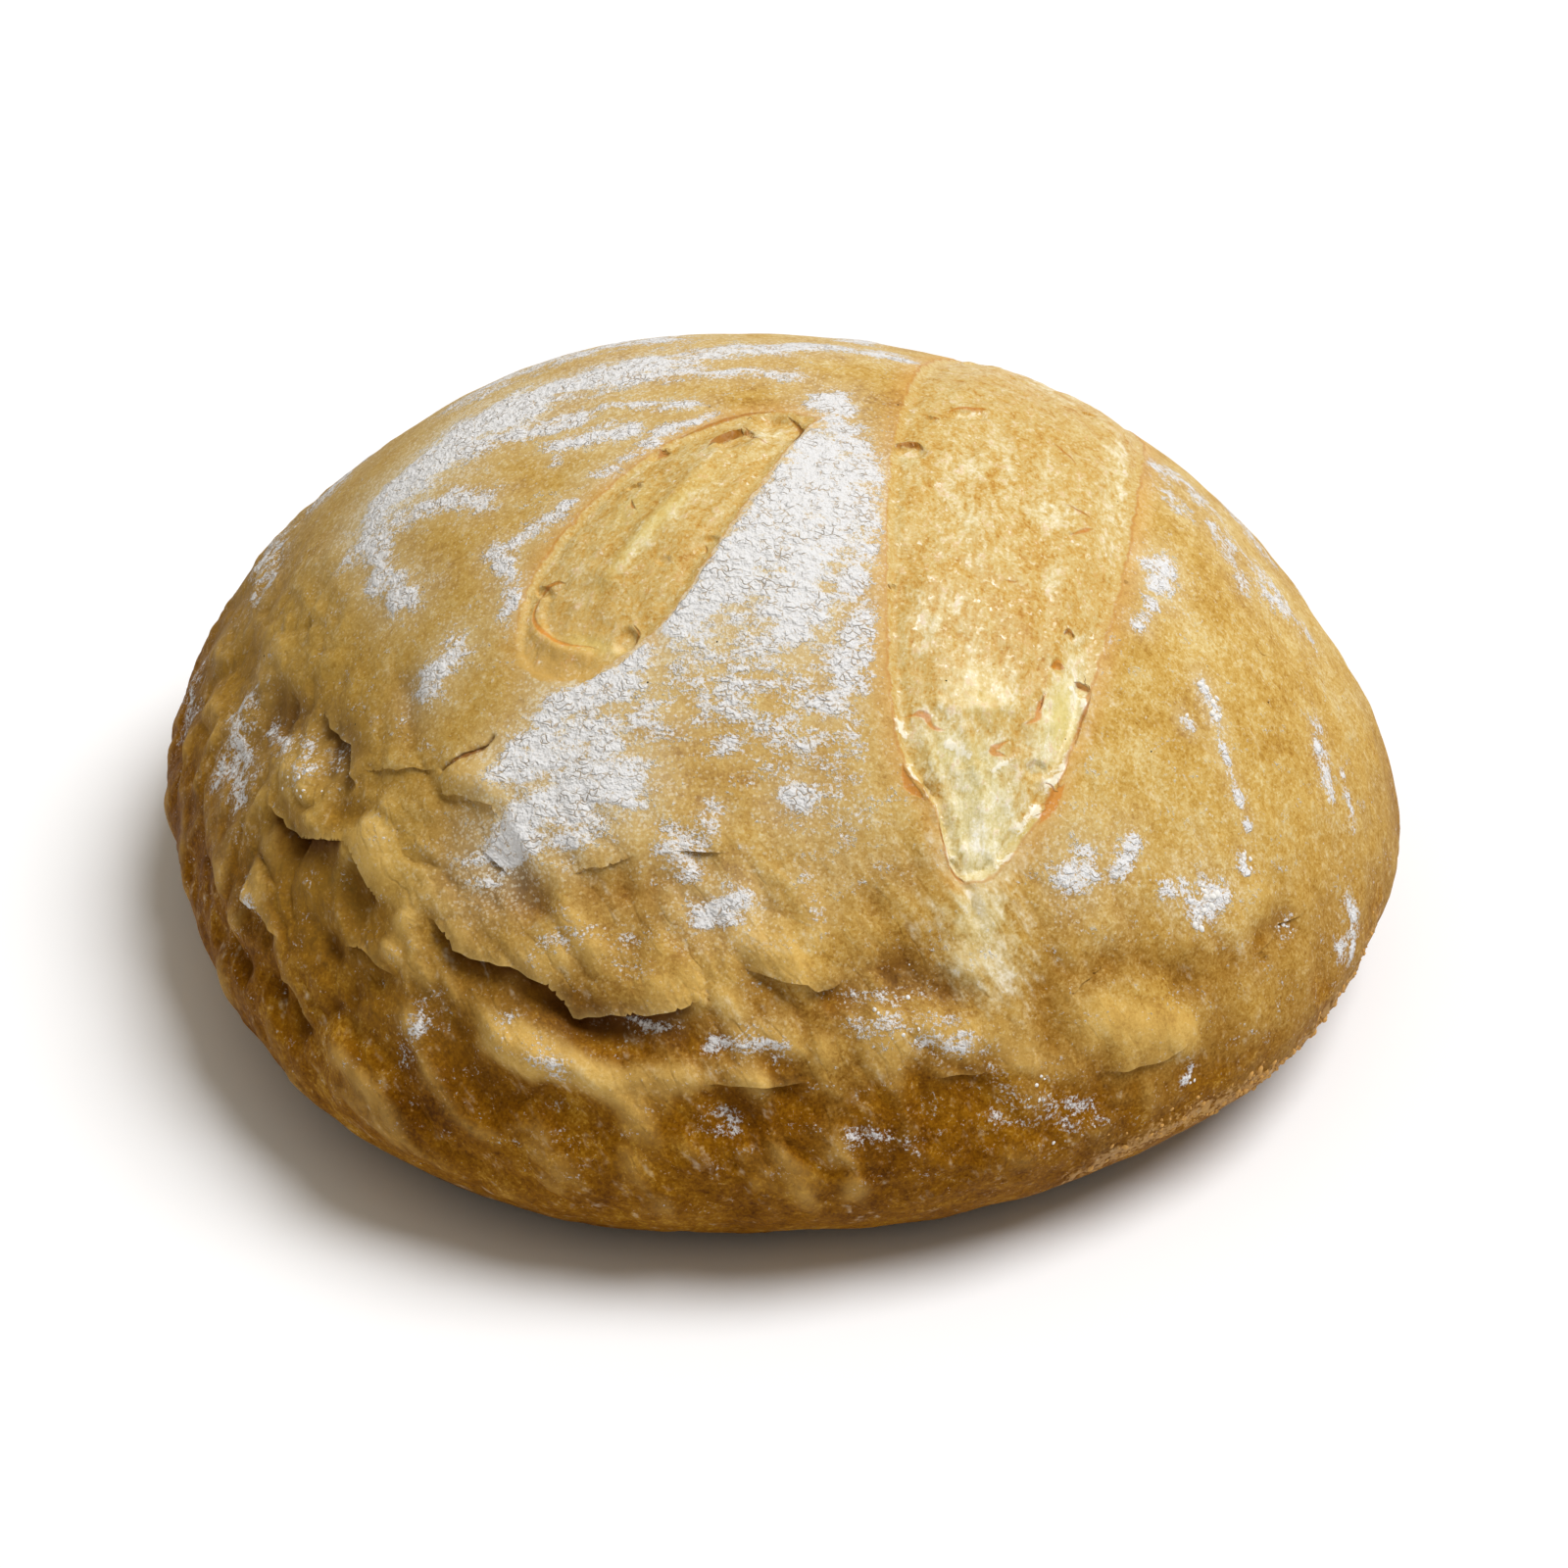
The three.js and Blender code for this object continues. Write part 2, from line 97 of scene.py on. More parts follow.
# Torn plate edges. The plate lies on the left of its path and is lifted; on the right the
# crust drops into a hollow: path, lift, drop, reach of the hollow.
LEDGES = [
    ([(-88, -9), (-93, -16), (-96, -22)], 0.3, 0.6, 6),
    ([(-92, -42), (-88.5, -50), (-84, -55.5), (-83.5, -60.5), (-81.5, -67)], 0.6, 1.0, 9),
    ([(-80, -63.5), (-73, -67), (-67.5, -69), (-62, -71)], 0.25, 0.4, 8),
    ([(-61.3, -71.8), (-61, -76.5), (-57, -78), (-51.5, -81), (-49.5, -84.5)], 0.5, 0.4, 4),
    ([(-106, -55.5), (-102, -61.5), (-98, -67.5), (-91, -72.3), (-83.5, -76.5)], 0.7, 1.5, 10),
    ([(-83.5, -76.5), (-79.3, -85), (-76.7, -91.5)], 0.5, 1.4, 10),
    ([(-117, -68), (-110, -77), (-104.5, -86)], 0.5, 1.0, 6),
    ([(-109, -91), (-104, -95), (-103, -100), (-101, -106)], 0.5, 1.1, 6),
    ([(-88, -94), (-85, -96), (-82, -97), (-80, -100), (-75, -105)], 0.5, 1.0, 6),
    ([(-55, -88), (-52, -90), (-49, -94)], 0.3, 0.7, 5),
    ([(-66.4, -96.7), (-63, -99), (-60.8, -103.3), (-55.4, -106.5), (-49.5, -108.7),
      (-42.2, -112.8), (-39, -117), (-37.5, -119), (-33, -118.8), (-27.5, -119), (-21, -119.2),
      (-16.6, -118.2), (-12.3, -117)], 0.9, 1.8, 6.5),
    ([(-5, -111.5), (1, -113.2), (6, -113.6), (10, -114.7), (13, -113.9), (16, -112.4)], 0.5, 0.7, 5),
    ([(-37.6, -95.3), (-30.8, -94.7), (-24, -93.2)], 0.35, 0.45, 6),
    ([(-18, -93), (-13, -93.3), (-8.2, -93.4)], 0.4, 0.7, 4),
    ([(-12, -131), (-4, -131), (4, -131), (10, -130)], 0.35, 0.8, 6),
    ([(35, -127), (41.5, -124.5), (50, -123)], 0.4, 0.7, 6),
    ([(61, -108), (64, -103.5), (69, -98.5)], 0.25, 0.4, 5),
    ([(74, -117), (80.7, -113.2), (87, -109.3), (92, -104)], 0.3, 0.6, 5),
    ([(104, -82), (107, -78), (110, -72), (116, -66)], 0.25, 0.45, 5),
]
TEAR_SPAN = 24                  # a torn edge shapes the crust up to this far away
PLATE_REACH = 9                 # how far a plate's lift runs back from its edge
PLATE_RISE = 0.7                # height of the plate's edge itself, over the lift
LEDGE_TAPER = 5                 # a ledge dies out over this length at each end
FULL_DROP = 2                   # a ledge with this drop overhangs and shades in full
LEDGE_JAG, LEDGE_JAG_STEP = 0.34, 2.3       # how far a torn edge strays from its path
OVERHANG = 0.4                  # a plate's edge hangs out over its hollow by this
UNDERCUT = 0.8                  # the hollow's wall runs back under the plate by this
OVERHANG_REACH, UNDERCUT_REACH = 1.2, 1.7
HOLLOW_SHADE = 0.55             # how far the painted shade in a hollow runs, over the hollow's reach
BRIM_WIDTH = 0.9                # width of the pale brim along a plate's edge

# Folds of torn skin inside the openings: the same, but small, and neither dark nor pale.
FOLDS = [
    ([(48, -56), (48, -59.5), (46, -62.5), (43.5, -64.5)], 0.3, 0.45, 3),
    ([(40, -69.5), (37, -73), (33, -75)], 0.25, 0.4, 4),
    ([(57, -15), (55.5, -13.5), (52, -13), (49.5, -13)], 0.2, 0.4, 4),
]

# Fine lines where skin meets skin, and painted shade along the steep walls of pockets and under lips:
# path, half width, darkness (0 orange, 1 deep amber painted shade).
SEAMS = [
    ([(-21.5, -11), (-16, -6.8), (-10, -3), (-5, -1.2), (1, -0.9)], 0.35, 0.5),
    ([(-37.5, -42), (-41.5, -42.5), (-43.5, -45), (-43.5, -48), (-40.5, -52), (-37, -54.5),
      (-33.5, -55.5), (-29, -58)], 0.45, 0.1),
    ([(-43, -43.6), (-41.6, -41.6), (-39.6, -41), (-37, -42)], 0.45, 0.4),
    ([(-26, -52), (-24.5, -54), (-25, -56), (-26.5, -57.5)], 0.3, 0.5),
    ([(-14, -14.4), (-12.6, -11), (-10, -8.6), (-7, -8), (-4.6, -9.2)], 0.75, 0.7),
    ([(-1, -0.5), (1.7, -3), (2.8, -6.5), (1.4, -11), (-0.5, -12.5)], 0.4, 0.7),
    ([(-7, -3.3), (-7.5, -5.7), (-6, -9.3), (-3, -12), (-0.5, -12.5)], 0.2, 0.4),
    ([(-23, -13.4), (-21.5, -12), (-19.6, -12.4)], 0.45, 0.5),
    ([(-26, -20.7), (-24, -21)], 0.25, 0.6),
    ([(-26.3, -25), (-26, -27), (-25, -29)], 0.3, 0.5),
    ([(-13.3, -37.5), (-12.7, -39), (-13.1, -40.3)], 0.25, 0.4),
    ([(19.2, -8.6), (20.8, -6.9), (22.8, -7), (24.8, -8.8)], 0.6, 0.6),
    ([(28.6, 4.6), (29.8, 7.1), (32.3, 9), (34.3, 9.4), (38, 10.8)], 0.55, 0.35),
    ([(26, 3.4), (27.4, 2.2)], 0.45, 0.45),
    ([(24.4, 21), (25.6, 21.4), (27.2, 21)], 0.35, 0.4),
    ([(48, 6.3), (50.6, 4), (52.4, 1.8), (53.2, -0.5)], 0.35, 0.35),
    ([(49.7, -13), (53, -13.5), (55.5, -13.8), (56.7, -14.7)], 0.35, 0.45),
    ([(56.5, -15.5), (55.8, -17), (52.5, -20.2), (50.4, -21.4)], 0.4, 0.3),
    ([(39, -37), (41, -36.8), (42.3, -36)], 0.25, 0.3),
    ([(51.2, -44), (52.4, -42.4), (53.8, -43.6)], 0.35, 0.6),
    ([(18.4, -43.8), (19.6, -43.9)], 0.3, 0.6),
    ([(48.6, -51.8), (50.2, -50.6), (52.4, -50.4)], 0.9, 0.2),
    ([(57.8, -51), (57.6, -54), (56.6, -57.6), (55.6, -63), (55.5, -66.2)], 0.35, 0.6),
    ([(53.8, -52), (56.4, -51.8), (58.2, -53)], 0.5, 0.6),
    ([(22.1, -68), (26.3, -66.6), (28.4, -68.6), (31.3, -68.7)], 0.6, 0.1),
    ([(48.7, -56), (47.6, -59.6), (47.2, -62), (44.2, -64.5)], 0.6, 0.1),
    ([(42.8, -67.2), (39.6, -70), (43.1, -70.4)], 0.7, 0.1),
    ([(54.8, -70.5), (52.2, -76), (49.6, -80.8)], 1.2, 0.1),
    ([(49.7, -72.3), (51.7, -72.5), (52, -74.3), (49.5, -77.7)], 0.4, 0.3),
    ([(30.8, -82.4), (31.5, -86.5), (33.7, -90)], 0.25, 0.6),
    ([(33.4, -90.4), (34.6, -92), (37.4, -93.6)], 0.45, 0.6),
    ([(22.9, -75), (24.6, -79), (28.6, -81.6)], 0.9, 0.1),
    ([(-51, -68.8), (-53, -70.4), (-57.3, -70.8), (-61.3, -71.6)], 0.5, 0.8),
    ([(93, -17), (96, -19), (99, -17)], 0.12, 0.8),
]
SEAM_REACH = 1.2                # a seam keeps its width up to this distance, and then thins out
SEAM_TAPER = 0.45               # share of a seam's length over which each of its ends thins
LINE_SPAN = 4                   # seams and cracks show up to this far away
NO_SEAM = 9                     # distance given where no seam is near

# White glossy lips of wet skin at the tip of the right opening, their white partly a painted
# highlight: path, half width, height.
LIPS = [
    ([(54.6, -53.6), (56.6, -54.6), (57, -57.5)], 0.9, 0.4),
    ([(56.3, -60), (55.8, -63)], 0.5, 0.3),
    ([(55.2, -65.4), (54.6, -67.5), (53, -70.4), (51.6, -72.2)], 1.5, 0.5),
    ([(49.4, -77.2), (48.2, -79.4), (46.8, -82)], 1.0, 0.4),
    ([(45.6, -86.6), (43, -89.4)], 0.6, 0.25),
    ([(21.6, -68.4), (23, -70.6)], 0.9, 0.35),
    ([(24.6, -76.6), (26.2, -78.8), (28, -80.4)], 0.9, 0.4),
    ([(29.8, -82), (30.3, -83.4)], 0.8, 0.3),
    ([(32.4, -88.4), (33.6, -91)], 0.6, 0.3),
    ([(40, -73.4), (43.8, -70)], 0.6, 0.2),
    ([(31, -71), (35, -71.8)], 0.9, 0.15),
]

# Hair cracks: path, half width, depth.
CRACKS = [
    ([(-51, -68.8), (-53, -70.4), (-57.3, -70.8), (-61.3, -71.6)], 0.5, 0.6),
    ([(69.3, -98.9), (63.5, -103.7), (65, -108.2)], 0.4, 0.2),
]
CRACK_JAG, CRACK_JAG_STEP, CRACK_SEED = 0.25, 1.0, 7

# Burst bubbles: place, half length, half width, direction, depth, direction of the steep wall.
POCKETS = [
    (-1.5, -7, 5.6, 4.6, 62, 0.95, 60), (-8.5, -11, 4.6, 3.0, 30, 1.1, 115),
    (-22, -13, 2.2, 1.0, 35, 0.6, 100), (-26, -22, 1.6, 0.9, 0, 0.5, 90),
    (-35, -48.5, 9.5, 7.0, -58, 0.6, 205), (-41.5, -42.5, 2.4, 1.2, -40, 0.45, 120),
    (-26.8, -55.5, 2.8, 2.2, 70, 0.7, 5), (-13, -38, 2.6, 1.8, 20, 0.4, 20),
    (-20, -41, 1.3, 1.1, 0, 0.4, 90), (-45, -43, 1.0, 0.9, 0, 0.25, 90),
    (22, -9.4, 3.4, 2.4, 0, 0.9, 95), (33, 6.4, 5.0, 2.2, 28, 0.7, 115),
    (26, 22, 1.5, 0.8, 0, 0.7, 90), (26, 2, 1.8, 0.7, -55, 0.6, 60),
    (52.4, -43.8, 1.5, 1.2, 0, 0.45, 90), (51.5, -21.4, 1.2, 0.9, 0, 0.3, 90),
    (19.5, -44, 1.0, 0.7, 0, 0.4, 90), (63.5, -26, 0.9, 0.7, 0, 0.4, 90),
    (20, -26, 0.8, 0.6, 0, 0.3, 90), (56, -53.4, 2.0, 1.8, 20, 0.5, 75),
    (50.4, -51.4, 1.6, 1.2, 0, 0.35, 90), (48.5, -71, 2.6, 1.8, 20, 0.6, 90),
    (29, -79.5, 2.2, 1.3, -40, 0.6, 140), (35, -91.5, 2.2, 1.2, -50, 0.7, 150),
    (58, 30, 2.6, 1.1, 40, 0.6, 100), (45, 40, 2.4, 1.2, 10, 0.5, 90),
    (36, 48, 1.6, 1.0, 0, 0.5, 90), (60, 55, 2.0, 1.2, 60, 0.5, 90),
    (107, -81, 1.6, 1.2, 0, 0.4, 90),
]
WALL_SHARP, WALL_SOFT = 0.16, 0.9   # share of a pocket's radius that its wall takes
# The raised brow round a pocket: height over its depth, radius and width over its radius.
BROW_HEIGHT, BROW_RADIUS, BROW_WIDTH = 0.15, 1.12, 0.16

# Valleys of the puckered crust, and its ridges: path, half width, depth or height.
VALLEYS = [
    ([(35.8, -93.1), (38.3, -95), (39.6, -98.5)], 1.1, 0.8),
    ([(-105, -31), (-96, -42), (-90, -50), (-85, -61), (-84, -69)], 5.0, 1.4),
    ([(-98, -69), (-91, -78), (-84, -86), (-77, -94)], 4.5, 1.7),
    ([(-101, -61), (-99, -67)], 3.0, 0.9), ([(-71, -50), (-69, -56), (-68, -61)], 3.6, 1.0),
    ([(-66, -98), (-62, -105), (-54, -110), (-42, -117)], 3.2, 0.9),
    ([(-36.5, -120), (-27, -123), (-15, -123.5)], 3.2, 1.2),
    ([(-96, -83.5), (-92, -92), (-86, -104)], 2.6, 1.1),
    ([(-83, -92.5), (-77, -102.5), (-69, -111)], 2.6, 1.0),
    ([(-127, -73.5), (-112, -88), (-103.5, -100)], 2.8, 0.9),
    ([(-131, -61), (-125.5, -74)], 2.8, 0.9), ([(-65, -73), (-61, -80), (-56, -87)], 5.0, 0.4),
    ([(-51, -90), (-47, -95), (-44, -99)], 3.5, 1.3),
    ([(-113, -90), (-108, -97), (-105, -104)], 4.0, 1.5),
    ([(-90, -93), (-86, -98), (-80, -104)], 3.4, 1.3), ([(-123, -77), (-120, -84)], 3.0, 1.1),
    ([(-26, -100), (-24, -105), (-26, -111)], 4.0, 1.0), ([(-33, -99), (-28, -98)], 3.0, 0.8),
    ([(-15, -135), (-2.5, -136.5), (12, -136.5)], 4.0, 1.1), ([(-44, -132), (-35, -137)], 5.0, 1.0),
    ([(24, -109), (33, -111), (41, -112)], 3.0, 1.1),
    ([(-2, -117), (10, -118), (17, -115)], 3.0, 1.0),
    ([(70, -97.5), (78, -95), (88, -92.5)], 3.6, 0.9), ([(65, -102), (70, -98)], 3.0, 0.5),
    ([(34, -130), (42, -129), (51, -128)], 3.6, 1.0), ([(37, -137), (46, -137)], 4.5, 0.8),
    ([(104, -79), (110, -71)], 3.4, 1.2), ([(-93, -104), (-86, -111), (-77, -119)], 4.0, 1.2),
    ([(-65, -117), (-56, -126), (-44, -131)], 4.5, 1.1), ([(-103, -36), (-110, -30)], 6.0, 0.9),
    ([(66, -113), (74, -118)], 4.0, 0.7), ([(20, -101), (27, -104)], 4.0, 0.6),
    ([(86, -96), (96, -88)], 4.0, 0.6),
]
RIDGES = [
    ([(27, -71), (29.5, -75.5), (33, -81), (36, -88)], 1.1, 0.5),
    ([(34, -68), (38.5, -77), (41, -87)], 1.2, 0.5),
    ([(45, -69), (44.5, -78), (42.5, -88)], 1.1, 0.45), ([(50, -62), (47.5, -70)], 1.1, 0.4),
    ([(28, -64), (34, -64.5), (42, -61.5)], 1.4, 0.4),
    ([(-12, -16), (-20, -29), (-30, -43)], 1.5, 0.4),
    ([(-6, -22), (-14, -35), (-22, -47)], 1.2, 0.25),
    ([(-43, -51), (-39, -55), (-34, -57)], 1.3, 0.4), ([(-58, -74), (-52.5, -77.5)], 3.4, 1.4),
    ([(-77.5, -86), (-70, -99.5), (-61, -111), (-55, -119.5)], 3.2, 0.8),
    ([(-104, -46), (-96, -57), (-92, -65)], 5.0, 0.7), ([(-78, -77), (-74, -85)], 4.5, 1.0),
    ([(-65, -86), (-61, -95)], 4.0, 0.9), ([(-97, -73), (-90, -87), (-79.5, -101.5)], 3.0, 0.9),
    ([(-79, -99), (-68, -107)], 3.6, 1.0),
    ([(-51, -122), (-43, -126), (-31, -128.5), (-15, -130), (-1, -131)], 3.6, 1.5),
    ([(-117, -67), (-107, -82), (-107, -87), (-104, -101)], 2.6, 0.9),
    ([(20, -119), (30, -118), (40, -117)], 3.8, 1.2), ([(-12, -136), (-4, -142)], 2.4, 0.5),
    ([(70, -108.5), (79, -107), (89, -104)], 5.4, 1.7),
    ([(-6, -107), (2, -110.5), (9, -113)], 3.0, 0.8),
    ([(-41, -105), (-34, -110), (-28, -114)], 4.5, 0.8),
    ([(-57, -99), (-48, -107), (-42, -110)], 3.6, 0.9),
    ([(-80, -108), (-71, -114), (-61, -123)], 4.0, 1.1), ([(-55, -120), (-43, -126)], 4.5, 1.1),
    ([(-5, -108), (6, -110)], 5.0, 0.8), ([(-94, -110), (-82, -120)], 3.6, 0.9),
    ([(12, -125), (22, -128)], 4.0, 0.7), ([(-116, -80), (-113, -92)], 3.4, 0.8),
    ([(34, -61), (38, -62)], 6.0, 0.7), ([(54, -120), (66, -117)], 4.0, 0.7),
    ([(96, -80), (100, -70)], 4.0, 0.6),
]

SWELL_HEIGHT, SWELL_PITCH = 1.3, 34         # slow unevenness of the whole crust
WRINKLE_WAY, WRINKLE_LENGTH = (0.6, -0.47, -0.64), 2.0      # wrinkles run and are drawn out so
GRAIN_LENGTH = 2.6                          # how far the crust's fine grain is drawn out that way
WRINKLES = [(13, 1.8, 2), (8, -1.1, 4), (5, 0.5, 2), (3.4, -0.4, 4)]    # pitch, height, sharpness
PUCKER_CENTRE, PUCKER_SPREAD = -128, 75     # azimuths of the puckered side, degrees
PUCKER_REST = 0.25                          # share of it on the other sides
PUCKER_START = 0.35                         # its share falls off from here, in spreads
PUCKER_TOP, PUCKER_FADE = 92, 40            # it fades out above this height
PUCKER_LOW = 0.25                           # share of it left at the foot
PUCKER_LOW_TOP, PUCKER_LOW_FADE = 8, 18     # up to this height, and it grows over the next
PUCKER_CALM = 3                             # it fades in over this distance from an opening
KNOBS = [(7.0, 0.2, 0.3), (3.2, 0.05, 0.12)]        # pitch, height everywhere, more on the puckers
FOOT_RAG, FOOT_RAG_PITCH, FOOT_RAG_LAYER = 1.0, 7, 3        # raggedness of the foot's edge
FOOT_CRUMBLE = [(2.6, 0.7), (1.3, 0.35)]    # pitch and depth of its finer raggedness
FOOT_FADE = 9                               # relief fades in over this height above the base

# ------------------------------------------------------------------ flour and browning

# Flour lies in strokes of the hand and the basket: path, half width, thickness (1 is caked
# and crackled, below 0.5 thin powder).
FLOUR = [
    ([(8, 6), (12, -12)], 4.6, 0.95), ([(6, -13), (0, -31), (-7, -43), (-15, -53)], 6.5, 1.2),
    ([(12, -20), (5, -38), (2, -52)], 7.5, 1.1),
    ([(14, -32), (12, -45), (12, -56), (9, -68)], 4.0, 0.85), ([(15, -54), (15, -63)], 2.6, 0.75),
    ([(-25, -61), (-38, -66), (-41, -71)], 5.0, 1.05), ([(-24, -70), (-17, -72)], 3.4, 0.8),
    ([(-31, -73), (-42, -75), (-46, -75)], 5.2, 1.05),
    ([(-27, -80), (-40, -81), (-47, -87), (-51, -90)], 5.6, 1.1),
    ([(-34, -85), (-38, -89)], 4.4, 0.9), ([(-16, -65), (-12, -68), (-12, -71)], 3.2, 0.7),
    ([(-3, -71), (2, -74), (-8, -76)], 3.0, 0.5), ([(4, -84), (7, -85)], 4.0, 0.85),
    ([(-10, -88), (-12, -87)], 2.8, 0.72), ([(-15, -94), (-19, -92)], 4.2, 0.66),
    ([(-6, -102), (-12, -103)], 4.4, 0.85), ([(8, -96), (9, -102)], 2.6, 0.6),
    ([(-26, -108), (-36, -104), (-42, -106)], 5.0, 0.42),
    ([(-16, -74), (-4, -77), (6, -72)], 7.0, 0.36),
    ([(-75, 0), (-66, 5), (-58, 11), (-50, 13)], 7.6, 1.2),
    ([(-52, 9), (-45, 16), (-40, 17), (-32, 18), (-25, 21)], 5.6, 1.12),
    ([(-25, 21), (-10, 25), (0, 29), (9, 32)], 4.6, 0.94),
    ([(-26, 15), (-11, 14), (1, 13)], 3.2, 0.84), ([(-34, 6), (-18, 2)], 3.2, 0.8),
    ([(-58, 2), (-45, 5), (-39, 4)], 3.8, 0.9), ([(-41, -3), (-33, -2.5), (-28, -3.5)], 3.0, 0.9),
    ([(-43, -4.5), (-42, -9)], 1.6, 0.7),
    ([(-34, -16), (-30, -13.5), (-25, -9.5), (-21, -6), (-14, -2.5)], 2.4, 0.85),
    ([(-61, -9), (-52.5, -15.5)], 3.8, 0.8), ([(-38.5, -21.5), (-37.5, -22)], 1.7, 1.0),
    ([(-84, -9.5), (-73, -9), (-66, -9.5)], 3.2, 0.86),
    ([(-80, -9), (-75, -20), (-69, -31)], 4.4, 0.9),
    ([(-48, -31), (-44, -28), (-41, -25)], 2.6, 0.85),
    ([(-51, -30), (-49, -38), (-47.5, -44)], 3.2, 0.86), ([(5, 4), (10, 6)], 2.0, 0.85),
    ([(-116, -25), (-119, -34), (-115, -44)], 6.5, 0.62), ([(-124, -36), (-122, -28)], 5.0, 0.46),
    ([(-108, -36), (-97, -50), (-93, -57)], 4.0, 0.48), ([(-90, -54), (-87, -62)], 3.0, 0.45),
    ([(-65, -54), (-59, -48)], 4.0, 0.82), ([(-116, -68), (-112, -76)], 3.6, 0.5),
    ([(-33, -119.5), (-18, -120.5)], 1.6, 0.7), ([(-10, -125), (2, -124)], 3.0, 0.58),
    ([(-50, -120), (-42, -126)], 4.4, 0.5), ([(-66, -112), (-72, -118)], 5.0, 0.42),
    ([(72, 10), (78, 8)], 4.4, 0.56), ([(-4, -56), (-6, -68)], 10.0, 0.62),
    ([(-14, -64), (8, -76)], 10.0, 0.56), ([(8, -62), (12, -84)], 8.0, 0.56),
    ([(68, -18), (72, -15), (70, -23)], 3.2, 0.88), ([(65, -34), (69, -27)], 1.8, 0.7),
    ([(86, 9), (92, -2)], 4.0, 0.68), ([(98, 4), (112, 6)], 5.0, 0.62),
    ([(82, -39), (85, -44)], 1.7, 1.0), ([(79, -48), (78, -49)], 1.2, 0.9),
    ([(86, -49), (91, -54), (96, -59)], 1.7, 0.85), ([(60, -40), (56, -55)], 1.6, 0.5),
    ([(61, -84), (58, -86)], 4.6, 0.85), ([(69, -76), (68, -81)], 3.0, 0.82),
    ([(85, -80), (91, -76)], 3.8, 0.82), ([(87, -82), (80, -82)], 3.0, 0.62),
    ([(96, -65), (97, -68)], 2.2, 0.72), ([(133, -52), (136, -60), (131, -64)], 4.4, 0.72),
    ([(114, -23), (118, -36)], 2.6, 0.76), ([(123, -26), (127, -35)], 2.2, 0.66),
    ([(110, -73), (112, -70)], 2.2, 0.66), ([(90, 9.5), (101, 9), (110, 5)], 5.5, 0.64),
    ([(92, 40), (102, 26)], 6.0, 0.62), ([(71, 20), (78, 23), (84, 19)], 6.0, 0.68),
    ([(15, 30), (21, 33)], 4.0, 0.85), ([(20, -117), (31, -117), (44, -119)], 5.0, 0.55),
    ([(52, -129), (62, -126), (74, -126)], 4.4, 0.5), ([(96, -109), (95, -111)], 1.8, 0.75),
    ([(32, -137), (18, -137)], 3.6, 0.48), ([(-6, -138), (-12, -138)], 3.6, 0.44),
    ([(-60, 32), (-44, 40), (-24, 38)], 8.5, 0.78), ([(-50, 58), (-32, 68), (-14, 66)], 8.0, 0.72),
    ([(-96, 34), (-88, 52), (-76, 66)], 7.5, 0.66), ([(-34, 92), (-10, 98), (8, 92)], 8.5, 0.64),
    ([(12, 44), (16, 60), (24, 78)], 6.5, 0.84), ([(82, 48), (92, 66), (92, 88)], 7.0, 0.68),
    ([(66, 98), (52, 112), (36, 118)], 7.0, 0.6), ([(-112, 14), (-112, 34)], 7.0, 0.62),
    ([(-74, 92), (-60, 106)], 7.5, 0.58), ([(-16, 122), (8, 128)], 7.0, 0.5),
    ([(118, 34), (120, 52)], 6.5, 0.58), ([(-136, -2), (-138, 16)], 6.0, 0.5),
]
EVEN_DUST = 0.14                # flour everywhere between the strokes
HAZE_WIDTH = 1.8                # width of the haze round a stroke, over the stroke's
DRIFT, DRIFT_PITCH = 2.4, 7     # how far, and over what length, the strokes wander
STROKE_SPAN = 3                 # a stroke is drawn out to this many half widths
SPOT_POWER = 1.2                # above 1 a spot's edge is firmer
CAKE_HEIGHT = 0.25              # caked flour stands this high
CAKE_START, CAKE_RISE = 0.4, 0.5            # flour cakes from this thickness, fully after the rise
BARE_HOLLOW = 0.7               # share of the flour that a hollow keeps off
BARE_RIM = 0.8                  # flour fades in over this distance from an opening

# Pale crumb, hardly browned: place, half length, half width, direction, amount.
PALE = [
    (39, -82, 16, 9, 90, 1.0), (52, -60, 13, 4.5, 72, 1.0), (31, -72, 8, 6, -60, 0.75),
    (36, -60, 9, 9, 0, 0.45), (40, -98, 9, 8, 90, 0.85), (42, -104, 11, 9, 0, 0.6),
    (54, -46, 5, 4, 90, 0.55), (22, -13, 4, 3, 90, 0.6), (33, 7, 4, 2, 20, 0.45),
    (46, -17, 9, 5, 60, 0.45), (32, -25, 12, 5, 90, 0.45), (62, 5, 22, 4, 85, 0.5),
    (-26, -56, 4, 3, 60, 0.5), (-22, -34, 16, 2, 51, 0.5), (36, -8, 14, 9, 80, 0.4),
    (48, -34, 4, 2, 90, 0.5), (52, 44, 14, 7, 80, 0.4), (-27, -23, 2, 1.5, 0, 0.4),
    (-2, -8, 4, 3, 60, 0.55), (28, -48, 8, 5, 80, 0.45), (46, -5, 8, 5, 80, 0.4),
]
# Bare shiny skin where the crumb steamed: the same.
WET = [
    (52.4, -59.5, 7.5, 3.0, 92, 1.0), (26, -79, 5, 1.3, -60, 1.0),
    (30.5, -84, 3.4, 1.3, -62, 0.9), (47.5, -82, 4, 1.3, 60, 0.9), (36, -61, 6, 5, 0, 0.5),
    (-22, -33, 14, 1.8, 51, 0.7), (-33, -55, 6, 1.6, -25, 0.8), (52, -58, 9, 4, 75, 0.4),
    (34, -72, 7, 3, 20, 0.5), (-26, -28, 5, 3, 51, 0.4),
]

# The ragged, crumbly edge at the front right of the foot: its path, half width and roughness.
RAGGED_EDGE = [([(79, -140), (93, -125), (114, -107), (133, -86), (146, -57), (150, -38)], 3.8, 1)]
RAGGED_HEIGHT = 0.9
RAGGED_CRUMBLE = [(2.2, 1), (1.1, 0.6)]     # pitch and share of its crumbling

